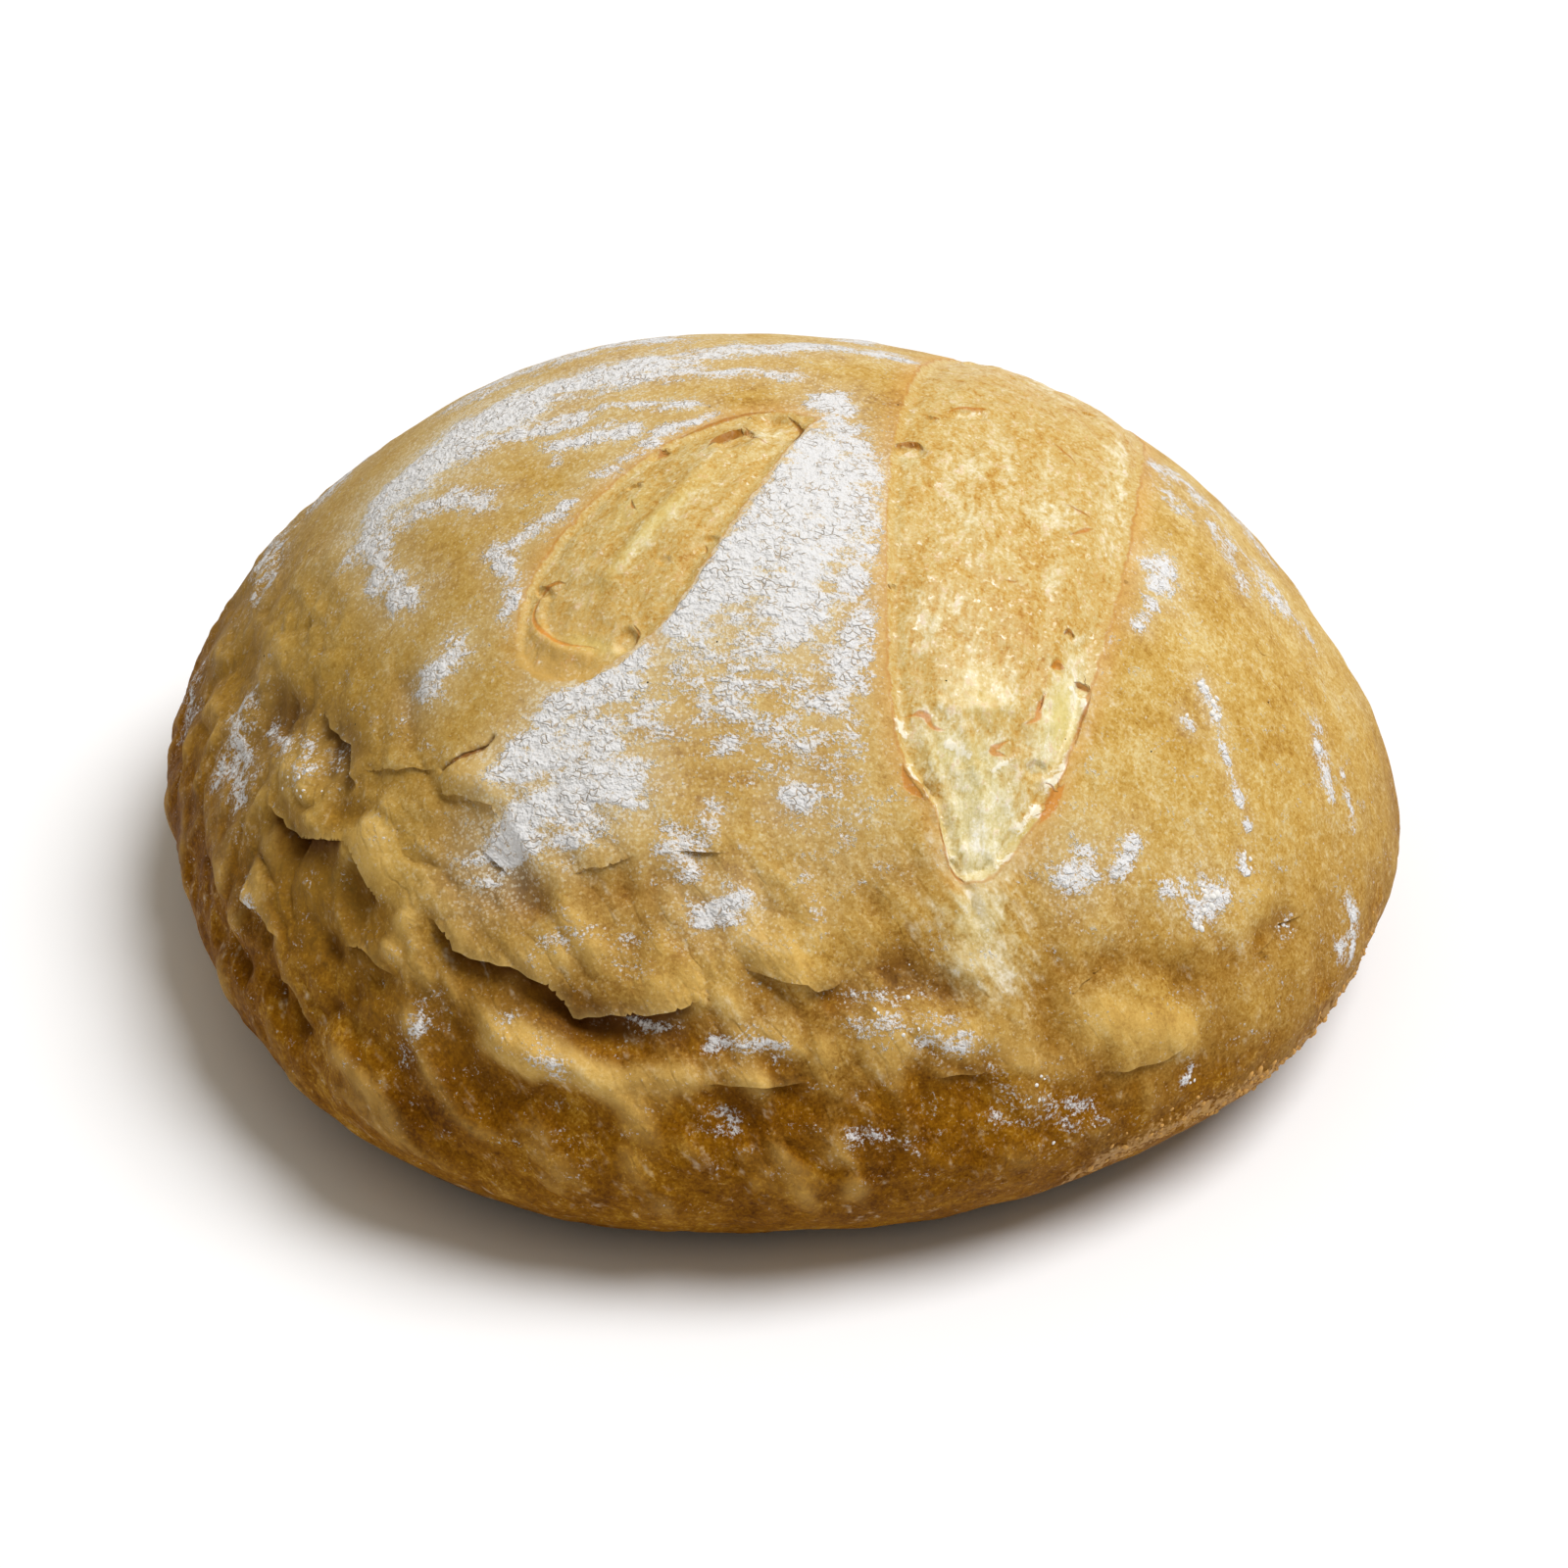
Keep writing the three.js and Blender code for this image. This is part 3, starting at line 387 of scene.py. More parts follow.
# Lumps of caked flour in clumps: centre, spread, count, largest size.
LUMP_CLUMPS = [
    ((82, -39), 1.2, 7, 1.7), ((85, -43), 1.3, 5, 1.3), ((91, -78), 2.2, 9, 1.7),
    ((88, -82), 1.6, 5, 1.5), ((79, -48), 0.8, 3, 1.2), ((97, -66), 1.6, 5, 1.2),
    ((96, -110), 0.9, 4, 1.1), ((-97, -55), 3.2, 5, 0.8), ((-93, -60), 3.0, 5, 0.9),
    ((112, -71), 1.4, 4, 1.0), ((60, -124), 6, 6, 0.9), ((24, -118), 7, 7, 0.9),
]
CLUMP_SPREAD = 0.6              # most lumps lie within this share of the spread
LUMP_SHARE = (0.4, 1)           # a lump's size over the clump's largest
FOOT_CRUMBS, FOOT_CRUMB_SIZES = 200, (0.5, 1.6)
FOOT_CRUMB_SPREAD = 2.3         # how far they stray from the ragged edge's path
SPECKS = [(-83, -52), (-108, -15), (54, -63), (-22, -64), (-14, 1), (82, -34), (20, 6),
          (-66, -30), (62, -3), (30, -60), (98, -30), (72, -58), (-11, -57), (40, -122)]
SPECK_SIZE, SPECK_SHARE = 0.4, (0.7, 1.4)
GLOBULE_LEVEL = 2               # subdivision of the globe that a lump, crumb or speck starts as
GLOBULE_WIDTH = (0.65, 0.95)    # its width over its length
GLOBULE_TURN = 6                # radians that it may be turned
UNEVEN, UNEVEN_PITCH = 0.22, 0.5            # its unevenness, over its radius
# How flat each kind is, how much of its size is sunk in the crust, and its colour.
FLOUR_LUMPS = (0.7, 0.12, "caked_flour", (226, 226, 224))
CRUMBS = (0.8, 0.15, "crumb", (198, 152, 86))
CHARRED = (0.5, 0.1, "charred", (38, 30, 24))

# ------------------------------------------------------------------ mesh sizes

GLOBE_LEVEL = 6                 # subdivision of the starting globe
FOOT_ANGLE = 138                # polar angle of the starting globe that becomes the foot
SIDE_LINE = 0.6                 # longest triangle side wanted by a torn edge, a crack or a lip
SIDE_SEAM, SIDE_RIM, SIDE_POCKET = 0.8, 0.8, 0.7
SIDE_TORN = 1.05                # inside an opening
SIDE_PUCKERED = 1.5
SIDE_PLAIN = 1.75
SIDE_BACK = 3.0                 # on the back
BACK_START, BACK_FADE = 20, 40  # from this far behind the crown the mesh grows coarser, over this
SIDE_FOOT, FOOT_BAND = 1.2, 5   # just above the base, up to this height
SIDE_UNDER = 6.0                # under the base
SIDE_MARGIN = 1                 # short sides run on this far past an opening, a pocket or the foot
LINE_BAND, LINE_GROWTH = 0.8, 0.6           # sides stay short this near to a line, and then grow
GUIDE_SPAN = 5                  # up to this far from it
SPLIT_PASSES = 4
LINE_SNAP = 0.36                # vertices of a plate this near to its torn edge move onto it
SHARP_ANGLE = 48                # degrees between faces that keep a sharp edge

DEG = math.pi / 180


# ------------------------------------------------------------------ small maths

def smooth(x):
    """A step from 0 to 1 with soft ends."""
    x = np.clip(x, 0, 1)
    return x * x * (3 - 2 * x)


def lattice(i, j, k):
    """A repeatable number from 0 to 1 for each lattice point."""
    s = np.sin(i * 127.1 + j * 311.7 + k * 74.7) * 43758.5453
    return s - np.floor(s)


def lumps(x, y, z):
    """Smooth noise from -1 to 1, with one lump for each unit of length."""
    z = np.broadcast_to(z, np.shape(x))
    i, j, k = np.floor(x), np.floor(y), np.floor(z)
    a, b, c = smooth(x - i), smooth(y - j), smooth(z - k)

    def row(dj, dk):
        low, high = lattice(i, j + dj, k + dk), lattice(i + 1, j + dj, k + dk)
        return low + (high - low) * a

    front = row(0, 0) + (row(1, 0) - row(0, 0)) * b
    back = row(0, 1) + (row(1, 1) - row(0, 1)) * b
    return 2 * (front + (back - front) * c) - 1


def crumble(points, pitch, turn=0.6):
    """Two layers of lumps, the second half as large, turned so that their grids don't show."""
    x, y, z = (points / pitch).T
    cos, sin = math.cos(turn), math.sin(turn)
    x, y = x * cos - y * sin, x * sin + y * cos
    y, z = y * cos - z * sin, y * sin + z * cos
    return (lumps(x, y, z) + 0.5 * lumps(2 * z, 2 * x, 2 * y)) / 1.5


# ------------------------------------------------------------------ the plain form

def profile():
    """Share of the radius, and height, down one meridian from the crown to the foot."""
    lift = np.linspace(math.pi / 2, 0, PROFILE_STEPS + 1)
    level = BELLY_HEIGHT + (HEIGHT - BELLY_HEIGHT) * np.sin(lift) ** CROWN_FLATNESS
    drop = np.arange(1, PROFILE_STEPS // 4 + 1) / (PROFILE_STEPS // 4)
    share = np.r_[np.cos(lift) ** CROWN_FULLNESS, 1 - (1 - FOOT_SHARE) * drop ** FOOT_ROUNDING]
    return np.column_stack([share, np.r_[level, BELLY_HEIGHT * (1 - drop)]])


PROFILE = profile()


def footprint_radius(azimuth):
    """Radius of the loaf's widest outline in a direction."""
    across = np.abs(np.cos(azimuth) / (LENGTH / 2)) ** SQUARENESS
    deep = np.abs(np.sin(azimuth) / (WIDTH / 2)) ** SQUARENESS
    radius = (across + deep) ** (-1 / SQUARENESS)
    for count, share, crest in LOBES:
        radius = radius * (1 + share * np.cos(count * (azimuth - crest * DEG)))
    return radius


def crust_length(radius):
    """Length of the crust from the crown to the foot's edge."""
    length = np.zeros_like(radius)
    for (r0, z0), (r1, z1) in zip(PROFILE[:-1], PROFILE[1:]):
        length += np.hypot((r1 - r0) * radius, z1 - z0)
    return length


def point_down(arc, azimuth):
    """The plain form's points, arc mm down the crust from the crown and on under the base."""
    radius = footprint_radius(azimuth)
    left = np.array(arc, float)
    share = np.zeros_like(left)
    level = np.full_like(left, HEIGHT)
    for (r0, z0), (r1, z1) in zip(PROFILE[:-1], PROFILE[1:]):
        step = np.hypot((r1 - r0) * radius, z1 - z0)
        part = np.clip(left / step, 0, 1)
        share += (r1 - r0) * part
        level += (z1 - z0) * part
        left -= step * part
    reach = np.maximum(0, share * radius - left)
    return np.stack([np.cos(azimuth) * reach, np.sin(azimuth) * reach, level], -1)


def point_at(u, v):
    """The plain form's point at a chart place."""
    return point_down(np.hypot(u, v), np.arctan2(v, u))


def unit(vectors):
    return vectors / np.maximum(np.linalg.norm(vectors, axis=-1, keepdims=True), 1e-12)


def tangents_at(u, v, reach=0.8):
    """Directions of growing u and growing v along the crust."""
    return (unit(point_at(u + reach, v) - point_at(u - reach, v)),
            unit(point_at(u, v + reach) - point_at(u, v - reach)))


# ------------------------------------------------------------------ lines on the chart

def flowing(points, steps, closed=True):
    """A centripetal Catmull-Rom curve through the points."""
    points = np.array(points, float)
    if closed:
        points = np.vstack([points[-1:], points, points[:2]])
    else:
        points = np.vstack([2 * points[:1] - points[1:2], points, 2 * points[-1:] - points[-2:-1]])
    curve = []
    for p0, p1, p2, p3 in zip(points, points[1:], points[2:], points[3:]):
        d0, d1, d2 = (math.sqrt(math.dist(a, b)) for a, b in ((p0, p1), (p1, p2), (p2, p3)))
        t1 = ((p1 - p0) / d0 - (p2 - p0) / (d0 + d1) + (p2 - p1) / d1) * d1
        t2 = ((p2 - p1) / d1 - (p3 - p1) / (d1 + d2) + (p3 - p2) / d2) * d1
        for t in np.arange(steps) / steps:
            curve.append(p1 + t1 * t + (3 * (p2 - p1) - 2 * t1 - t2) * t ** 2
                         + (2 * (p1 - p2) + t1 + t2) * t ** 3)
    return np.array(curve + [points[-2]])


def jagged(path, jag, step, seed):
    """The path in short steps that stray to either side of it, as a tear does."""
    path = np.array(path, float)
    stray = np.random.default_rng(seed)
    torn = [path[0]]
    for a, b in zip(path[:-1], path[1:]):
        count = max(1, round(math.dist(a, b) / step))
        across = np.array([a[1] - b[1], b[0] - a[0]]) / math.dist(a, b)
        for i in range(1, count + 1):
            torn.append(a + (b - a) * i / count + across * stray.uniform(-jag, jag))
    torn[-1] = path[-1]
    return np.array(torn)


def nearest(line, u, v, closed=False):
    """Nearest place on a line for each (u, v): its distance, the side (+1 on the left, 0 on the
    line), the line's place there, its heading, and the length of line before it."""
    steps = np.diff(line, axis=0)
    lengths = np.linalg.norm(steps, axis=1)
    headings = steps / lengths[:, None]
    before = np.vstack([headings[-1:] if closed else headings[:1], headings])
    after = np.vstack([headings, headings[:1] if closed else headings[-1:]])
    corners = unit(before + after)
    best = np.full(u.shape, np.inf)
    side, walked = np.zeros(u.shape), np.zeros(u.shape)
    foot, heading = np.zeros(u.shape + (2,)), np.zeros(u.shape + (2,))
    start = 0
    for i, (a, step, length) in enumerate(zip(line, steps, lengths)):
        share = np.clip(((u - a[0]) * step[0] + (v - a[1]) * step[1]) / length ** 2, 0, 1)
        fu, fv = a[0] + step[0] * share, a[1] + step[1] * share
        distance = np.hypot(u - fu, v - fv)
        closer = distance < best
        ahead = np.where((share <= 0)[:, None], corners[i],
                         np.where((share >= 1)[:, None], corners[i + 1], headings[i]))
        turn = ahead[:, 0] * (v - fv) - ahead[:, 1] * (u - fu)
        best = np.where(closer, distance, best)
        side = np.where(closer, np.where(distance < 1e-6, 0, np.sign(turn)), side)
        walked = np.where(closer, start + share * length, walked)
        foot = np.where(closer[:, None], np.stack([fu, fv], -1), foot)
        heading = np.where(closer[:, None], ahead, heading)
        start += length
    return {"distance": best, "side": side, "foot": foot, "heading": heading,
            "ends": np.minimum(walked, start - walked)}


def near_line(line, u, v, reach):
    """Which places lie in the line's own box, widened by reach."""
    low, high = line.min(0) - reach, line.max(0) + reach
    return np.flatnonzero((u > low[0]) & (u < high[0]) & (v > low[1]) & (v < high[1]))


for opening in OPENINGS:
    opening["outline"] = flowing(opening["rim"], RIM_STEPS)
# Ledges and folds: line, lift, drop, reach of the hollow and of the plate, 1 if the hollow gets
# painted shade and the plate a pale brim.
TEARS = [(jagged(path, LEDGE_JAG, LEDGE_JAG_STEP, seed), lift, drop, reach, PLATE_REACH, 1)
         for seed, (path, lift, drop, reach) in enumerate(LEDGES)]
TEARS += [(flowing(path, RIM_STEPS, False), lift, drop, reach, reach, 0)
          for path, lift, drop, reach in FOLDS]
SEAM_LINES = [(flowing(path, RIM_STEPS, False), half_width, darkness)
              for path, half_width, darkness in SEAMS]


# ------------------------------------------------------------------ relief along the normal

def oval(place, half_length, half_width, turn, u, v):
    """Places measured from an oval's centre, along and across it, in half lengths and widths."""
    cos, sin = math.cos(turn * DEG), math.sin(turn * DEG)
    du, dv = u - place[0], v - place[1]
    return (du * cos + dv * sin) / half_length, (dv * cos - du * sin) / half_width


def spots(rows, u, v):
    """The most of any spot's amount at each place."""
    amount = np.zeros_like(u)
    for at_u, at_v, half_length, half_width, turn, most in rows:
        along, across = oval((at_u, at_v), half_length, half_width, turn, u, v)
        amount = np.maximum(amount, most * np.exp(-(along ** 2 + across ** 2) ** SPOT_POWER))
    return amount


def strokes(rows, u, v, join):
    """Strokes with soft sides along paths, joined where they meet by the function join."""
    amount = np.zeros_like(u)
    for path, half_width, most in rows:
        line = np.array(path, float)
        near = near_line(line, u, v, STROKE_SPAN * half_width)
        distance = nearest(line, u[near], v[near])["distance"]
        amount[near] = join(amount[near], most * np.exp(-(distance / half_width) ** 2))
    return amount


def puckering(points):
    """Share of puckering: full low on the front left side, little elsewhere and on the crown."""
    away = np.arctan2(points[:, 1], points[:, 0]) - PUCKER_CENTRE * DEG
    turned = np.abs(np.arctan2(np.sin(away), np.cos(away))) / (PUCKER_SPREAD * DEG)
    side = 1 + (PUCKER_REST - 1) * smooth(turned - PUCKER_START)
    level = points[:, 2]
    return (side * smooth((PUCKER_TOP - level) / PUCKER_FADE)
            * (PUCKER_LOW + (1 - PUCKER_LOW) * smooth((level - PUCKER_LOW_TOP) / PUCKER_LOW_FADE)))


def drawn_out(points, way, length):
    """The points pressed together along a direction, so that lumps laid on them come out that
    many times as long."""
    way = unit(np.array(way, float))
    return points - np.outer(points @ way, way) * (1 - 1 / length)


def crumpling(points):
    """Ridges and creases of the puckered skin."""
    drawn = drawn_out(points, WRINKLE_WAY, WRINKLE_LENGTH)
    relief = np.zeros(len(points))
    for pitch, height, power in WRINKLES:
        relief += height * ((1 - np.abs(crumble(drawn, pitch, pitch))) ** power - 0.4)
    return relief


def opening_way(opening, u, v):
    """Distance across and along an opening."""
    cos, sin = math.cos(opening["along"] * DEG), math.sin(opening["along"] * DEG)
    return v * cos - u * sin, u * cos + v * sin


def flushness(opening, u, v):
    """How nearly the opening lies flush with the crust."""
    (at_u, at_v), reach = opening["flush"]
    return np.exp(-((u - at_u) ** 2 + (v - at_v) ** 2) / reach ** 2)


def opening_relief(opening, inside, u, v):
    """Relief of an opening, inside mm within its rim."""
    across, along = opening_way(opening, u, v)
    (deep_u, deep_v), reach, depth = opening["deep"]
    hollow = depth * np.exp(-((u - deep_u) ** 2 + (v - deep_v) ** 2) / reach ** 2)
    groove = GROOVE * np.exp(-((inside - GROOVE_AT) / GROOVE_WIDTH) ** 2)
    wrinkles = sum(height * lumps(across / wide, along / long, layer)
                   for height, wide, long, layer in TORN_WRINKLES) * smooth(inside / TORN_FADE)
    knots = KNOT_HEIGHT * crumble(np.stack([u, v, 0 * u], -1), KNOT_PITCH)
    step = 1 - flushness(opening, u, v)
    down = smooth(inside / STEP_WIDTH)
    torn = (opening["bulge"] * smooth(inside / BULGE_REACH) + wrinkles
            + knots * smooth(inside / KNOT_FADE) - hollow * down
            + step * (LIP * (1 - down) - groove - SUNK * down))
    return np.where(inside > 0, torn, step * LIP * np.exp(np.minimum(inside, 0) / LIP_REACH))


def tear_relief(tear, edge):
    """Relief of a torn edge: a lifted plate on its left, a hollow on its right."""
    _, lift, drop, reach, plate_reach, _ = tear
    distance = edge["distance"]
    taper = smooth(edge["ends"] / min(LEDGE_TAPER, reach))
    plate = PLATE_RISE * lift * np.exp(-distance / plate_reach)
    hollow = -drop * (1 - smooth(distance / reach))
    return taper * np.where(edge["side"] >= 0, plate, hollow)


def pocket_relief(pocket, u, v):
    """A burst bubble: a bowl with a steep wall on one side and a soft one on the other."""
    at_u, at_v, half_length, half_width, turn, depth, steep = pocket
    along, across = oval((at_u, at_v), half_length, half_width, turn, u, v)
    radius = np.hypot(along, across)
    facing = np.cos(np.arctan2(v - at_v, u - at_u) - steep * DEG)
    wall = WALL_SOFT + (WALL_SHARP - WALL_SOFT) * smooth(0.5 + 0.5 * facing)
    bowl = -depth * (1 - smooth((radius - 1 + wall) / wall))
    brow = BROW_HEIGHT * depth * np.exp(-((radius - BROW_RADIUS) / BROW_WIDTH) ** 2)
    return bowl + brow


def dusting(points, u, v):
    """Thickness of flour at each place, the strokes wandering, and the thin haze round them."""
    u = u + DRIFT * crumble(points, DRIFT_PITCH, 0.3)
    v = v + DRIFT * crumble(points, DRIFT_PITCH, 1.4)
    wide = [(path, HAZE_WIDTH * half_width, thickness ** 2) for path, half_width, thickness in FLOUR]
    return (np.maximum(EVEN_DUST, strokes(FLOUR, u, v, np.maximum)),
            np.maximum(0, strokes(wide, u, v, np.maximum)))


def apply_openings(u, v, height, grain):
    """Adds the openings' relief and turns the grain along them. Gives the distance inside their
    rims, and their flushness."""
    inside, flush = np.full_like(u, -RIM_FIELD), np.zeros_like(u)
    for count, opening in enumerate(OPENINGS, 1):
        near = near_line(opening["outline"], u, v, OPENING_SPAN)
        rim = nearest(opening["outline"], u[near], v[near], closed=True)
        within = rim["distance"] * rim["side"]
        height[near] += opening_relief(opening, within, u[near], v[near])
        flush = np.maximum(flush, flushness(opening, u, v))
        inside[near] = np.maximum(inside[near], np.clip(within, -RIM_FIELD, RIM_FIELD))
        across, along = opening_way(opening, u[near], v[near])
        apart = np.full_like(across, GRAIN_APART * count)
        lengthwise = np.stack([across, along / TORN_GRAIN_LENGTH, apart], -1)
        grain[near] = np.where((within > 0)[:, None], lengthwise, grain[near])
    return inside, flush


def apply_tears(u, v, height):
    """Adds the relief of the torn edges. Gives how far each place slides along the crust, and the
    shares of painted shade in the hollow and of pale brim."""
    slide = np.zeros(u.shape + (2,))
    hollow, brim = np.zeros_like(u), np.zeros_like(u)
    for tear in TEARS:
        line, _, drop, reach, _, tinted = tear
        near = near_line(line, u, v, TEAR_SPAN)
        edge = nearest(line, u[near], v[near])
        distance, on_plate = edge["distance"], edge["side"] >= 0
        height[near] += tear_relief(tear, edge)
        out = np.stack([edge["heading"][:, 1], -edge["heading"][:, 0]], -1)
        strength = smooth(edge["ends"] / LEDGE_TAPER) * min(1, drop / FULL_DROP)
        hang = np.where(on_plate, OVERHANG * np.exp(-distance / OVERHANG_REACH),
                        -UNDERCUT * np.exp(-distance / UNDERCUT_REACH))
        slide[near] += out * (hang * strength)[:, None]
        # painted shade in the hollow below a plate's edge, and a pale brim on the plate
        dark = strength * tinted * np.exp(-distance / (HOLLOW_SHADE * reach))
        light = strength * tinted * np.exp(-distance / BRIM_WIDTH)
        hollow[near] = np.maximum(hollow[near], np.where(on_plate, 0, dark))
        brim[near] = np.maximum(brim[near], np.where(on_plate, light, 0))
    return slide, hollow, brim


def seam_shares(u, v):
    """The signed distance from the nearest seam, and that seam's half width and darkness, its share of
    painted shade.
    """
    seam, seam_width, seam_dark = np.full_like(u, NO_SEAM), np.zeros_like(u), np.zeros_like(u)
    for line, half_width, darkness in SEAM_LINES:
        near = near_line(line, u, v, LINE_SPAN)
        edge = nearest(line, u[near], v[near])
        nearer = edge["distance"] < np.abs(seam[near])
        length = np.linalg.norm(np.diff(line, axis=0), axis=1).sum()
        width = (half_width * smooth(edge["ends"] / (SEAM_TAPER * length))
                 * (1 - smooth(edge["distance"] - SEAM_REACH)))
        at = near[nearer]
        seam[at] = (edge["distance"] * np.where(edge["side"] < 0, -1, 1))[nearer]
        seam_width[at], seam_dark[at] = width[nearer], darkness
    return seam, seam_width, seam_dark


def apply_cracks(u, v, height, hollow):
    """Cuts the hair cracks, with painted shade in them as dark as they are deep."""
    for path, half_width, depth in CRACKS:
        line = jagged(path, CRACK_JAG, CRACK_JAG_STEP, CRACK_SEED)
        near = near_line(line, u, v, LINE_SPAN)
        edge = nearest(line, u[near], v[near])
        cut = np.exp(-(edge["distance"] / half_width) ** 2)
        height[near] -= depth * cut
        # painted shade in the crack
        hollow[near] = np.maximum(hollow[near], cut * depth)


def skin_relief(plain, u, v, puckered, ragged):
    """Relief of the skin: ridges, valleys, wrinkles, knobs and the ragged edge."""
    relief = strokes(RIDGES, u, v, np.add) - strokes(VALLEYS, u, v, np.add)
    relief += puckered * crumpling(plain)
    for pitch, everywhere, more in KNOBS:
        relief += crumble(plain, pitch) * (everywhere + more * puckered)
    crumbled = sum(share * crumble(plain, pitch) for pitch, share in RAGGED_CRUMBLE)
    return relief + RAGGED_HEIGHT * ragged * crumbled


def foot_raggedness(plain):
    """How far the foot's edge strays outwards."""
    x, y, _ = plain.T
    rag = FOOT_RAG * lumps(x / FOOT_RAG_PITCH, y / FOOT_RAG_PITCH, FOOT_RAG_LAYER)
    for pitch, depth in FOOT_CRUMBLE:
        rag = rag + depth * crumble(plain, pitch)
    return rag


def crust_shape(u, v, arc, azimuth, length):
    """The crust's points, how much of each finish every place has, and the grain's places."""
    plain = point_down(arc, azimuth)
    x, y, z = plain.T
    height = np.zeros_like(u)
    grain = drawn_out(plain, WRINKLE_WAY, GRAIN_LENGTH)
    inside, flush = apply_openings(u, v, height, grain)
    slide, hollow, brim = apply_tears(u, v, height)
    seam, seam_width, seam_dark = seam_shares(u, v)
    apply_cracks(u, v, height, hollow)
    for pocket in POCKETS:
        height += pocket_relief(pocket, u, v)
    height += strokes(LIPS, u, v, np.maximum)

    puckered = puckering(plain) * smooth(-inside / PUCKER_CALM)
    ragged = strokes(RAGGED_EDGE, u, v, np.maximum)
    relief = skin_relief(plain, u, v, puckered, ragged)
    height += relief + SWELL_HEIGHT * lumps(x / SWELL_PITCH, y / SWELL_PITCH, z / SWELL_PITCH)

    flour, haze = dusting(plain, u, v)
    flour = flour * (1 - BARE_HOLLOW * np.minimum(1, hollow)) * smooth(-inside / BARE_RIM)
    height += CAKE_HEIGHT * smooth((flour - CAKE_START) / CAKE_RISE)

    above_foot = smooth(z / FOOT_FADE)
    rag = foot_raggedness(plain) * (1 - above_foot)
    to_u, to_v = tangents_at(u, v)
    points = (plain + np.cross(to_u, to_v) * (height * above_foot)[:, None]
              + unit(plain * (1, 1, 0)) * rag[:, None]
              + (to_u * slide[:, :1] + to_v * slide[:, 1:]) * above_foot[:, None])
    points = np.where((arc <= length)[:, None], points, plain)

    lips = [(path, half_width, 1) for path, half_width, _ in LIPS]
    # hollow is the share of painted shade under plates and in cracks
    shares = {"flour": flour, "haze": haze, "inside": inside, "hollow": np.clip(hollow, 0, 1),
              "brim": brim, "pale": spots(PALE, u, v), "wet": spots(WET, u, v),
              "lip": strokes(lips, u, v, np.maximum), "puckered": puckered,
              "relief": relief, "ragged": ragged, "flush": flush,
              "seam": seam, "seam_width": seam_width, "seam_dark": seam_dark}
    return points, shares, grain


# ------------------------------------------------------------------ the crust's mesh

def select_only(*objects):
    """Selects these objects, the last of them active."""
    bpy.ops.object.select_all(action="DESELECT")
    for thing in objects:
        thing.select_set(True)
        bpy.context.view_layer.objects.active = thing


def vertex_places(mesh):
    """The places of a mesh's vertices, one a row."""
    co = np.empty(len(mesh.vertices) * 3)
    mesh.vertices.foreach_get("co", co)
    return co.reshape(-1, 3)


def chart_places(directions):
    """Chart places of directions of the starting globe: u, v, arc, azimuth, crust length."""
    azimuth = np.arctan2(directions[:, 1], directions[:, 0])
    polar = np.arccos(np.clip(directions[:, 2], -1, 1)) / DEG
    radius = footprint_radius(azimuth)
    length = crust_length(radius)
    under = FOOT_SHARE * radius * (polar - FOOT_ANGLE) / (180 - FOOT_ANGLE)
    arc = np.where(polar < FOOT_ANGLE, length * polar / FOOT_ANGLE, length + under)
    return arc * np.cos(azimuth), arc * np.sin(azimuth), arc, azimuth, length


def wanted_side(directions):
    """Longest triangle side wanted in each direction of the starting globe."""
    u, v, arc, azimuth, length = chart_places(directions)
    points = point_down(arc, azimuth)
    side = SIDE_PLAIN + (SIDE_PUCKERED - SIDE_PLAIN) * smooth(2 * puckering(points))
    for opening in OPENINGS:
        near = near_line(opening["outline"], u, v, SIDE_MARGIN)
        rim = nearest(opening["outline"], u[near], v[near], closed=True)
        side[near] = np.where(rim["side"] > 0, SIDE_TORN, side[near])
    beyond_crown = smooth((points[:, 1] - BACK_START) / BACK_FADE)
    side = side + (SIDE_BACK - side) * beyond_crown
    side = np.where(points[:, 2] < FOOT_BAND, SIDE_FOOT + beyond_crown, side)
    guides = [(opening["outline"], SIDE_RIM) for opening in OPENINGS]
    guides += [(line, SIDE_SEAM) for line, _, _ in SEAM_LINES]
    guides += [(np.array(row[0], float), SIDE_LINE) for row in LEDGES + FOLDS + CRACKS + LIPS]
    for line, least in guides:
        near = near_line(line, u, v, GUIDE_SPAN)
        distance = nearest(line, u[near], v[near])["distance"]
        close = least + LINE_GROWTH * np.maximum(0, distance - LINE_BAND)
        side[near] = np.minimum(side[near], close + beyond_crown[near])
    for at_u, at_v, half_length, *_ in POCKETS:
        near = np.hypot(u - at_u, v - at_v) < half_length + SIDE_MARGIN
        side[near] = np.minimum(side[near], SIDE_POCKET)
    return np.where(arc > length + SIDE_MARGIN, SIDE_UNDER, side)


def split_long_sides(globe):
    """Splits every side of the globe that its place on the loaf makes too long."""
    mesh = globe.data
    directions = unit(vertex_places(mesh))
    _, _, arc, azimuth, _ = chart_places(directions)
    points = point_down(arc, azimuth)
    ends = np.empty(len(mesh.edges) * 2, np.int32)
    mesh.edges.foreach_get("vertices", ends)
    a, b = ends.reshape(-1, 2).T
    length = np.linalg.norm(points[a] - points[b], axis=1)
    long = length > wanted_side(unit(directions[a] + directions[b]))
    mesh.vertices.foreach_set("select", np.zeros(len(mesh.vertices), bool))
    mesh.polygons.foreach_set("select", np.zeros(len(mesh.polygons), bool))
    mesh.edges.foreach_set("select", long)
    bpy.ops.object.mode_set(mode="EDIT")
    bpy.ops.mesh.subdivide(number_cuts=1)
    bpy.ops.mesh.select_all(action="SELECT")
    bpy.ops.mesh.quads_convert_to_tris()
    bpy.ops.object.mode_set(mode="OBJECT")
    mesh.vertices.foreach_set("co", unit(vertex_places(mesh)).ravel())


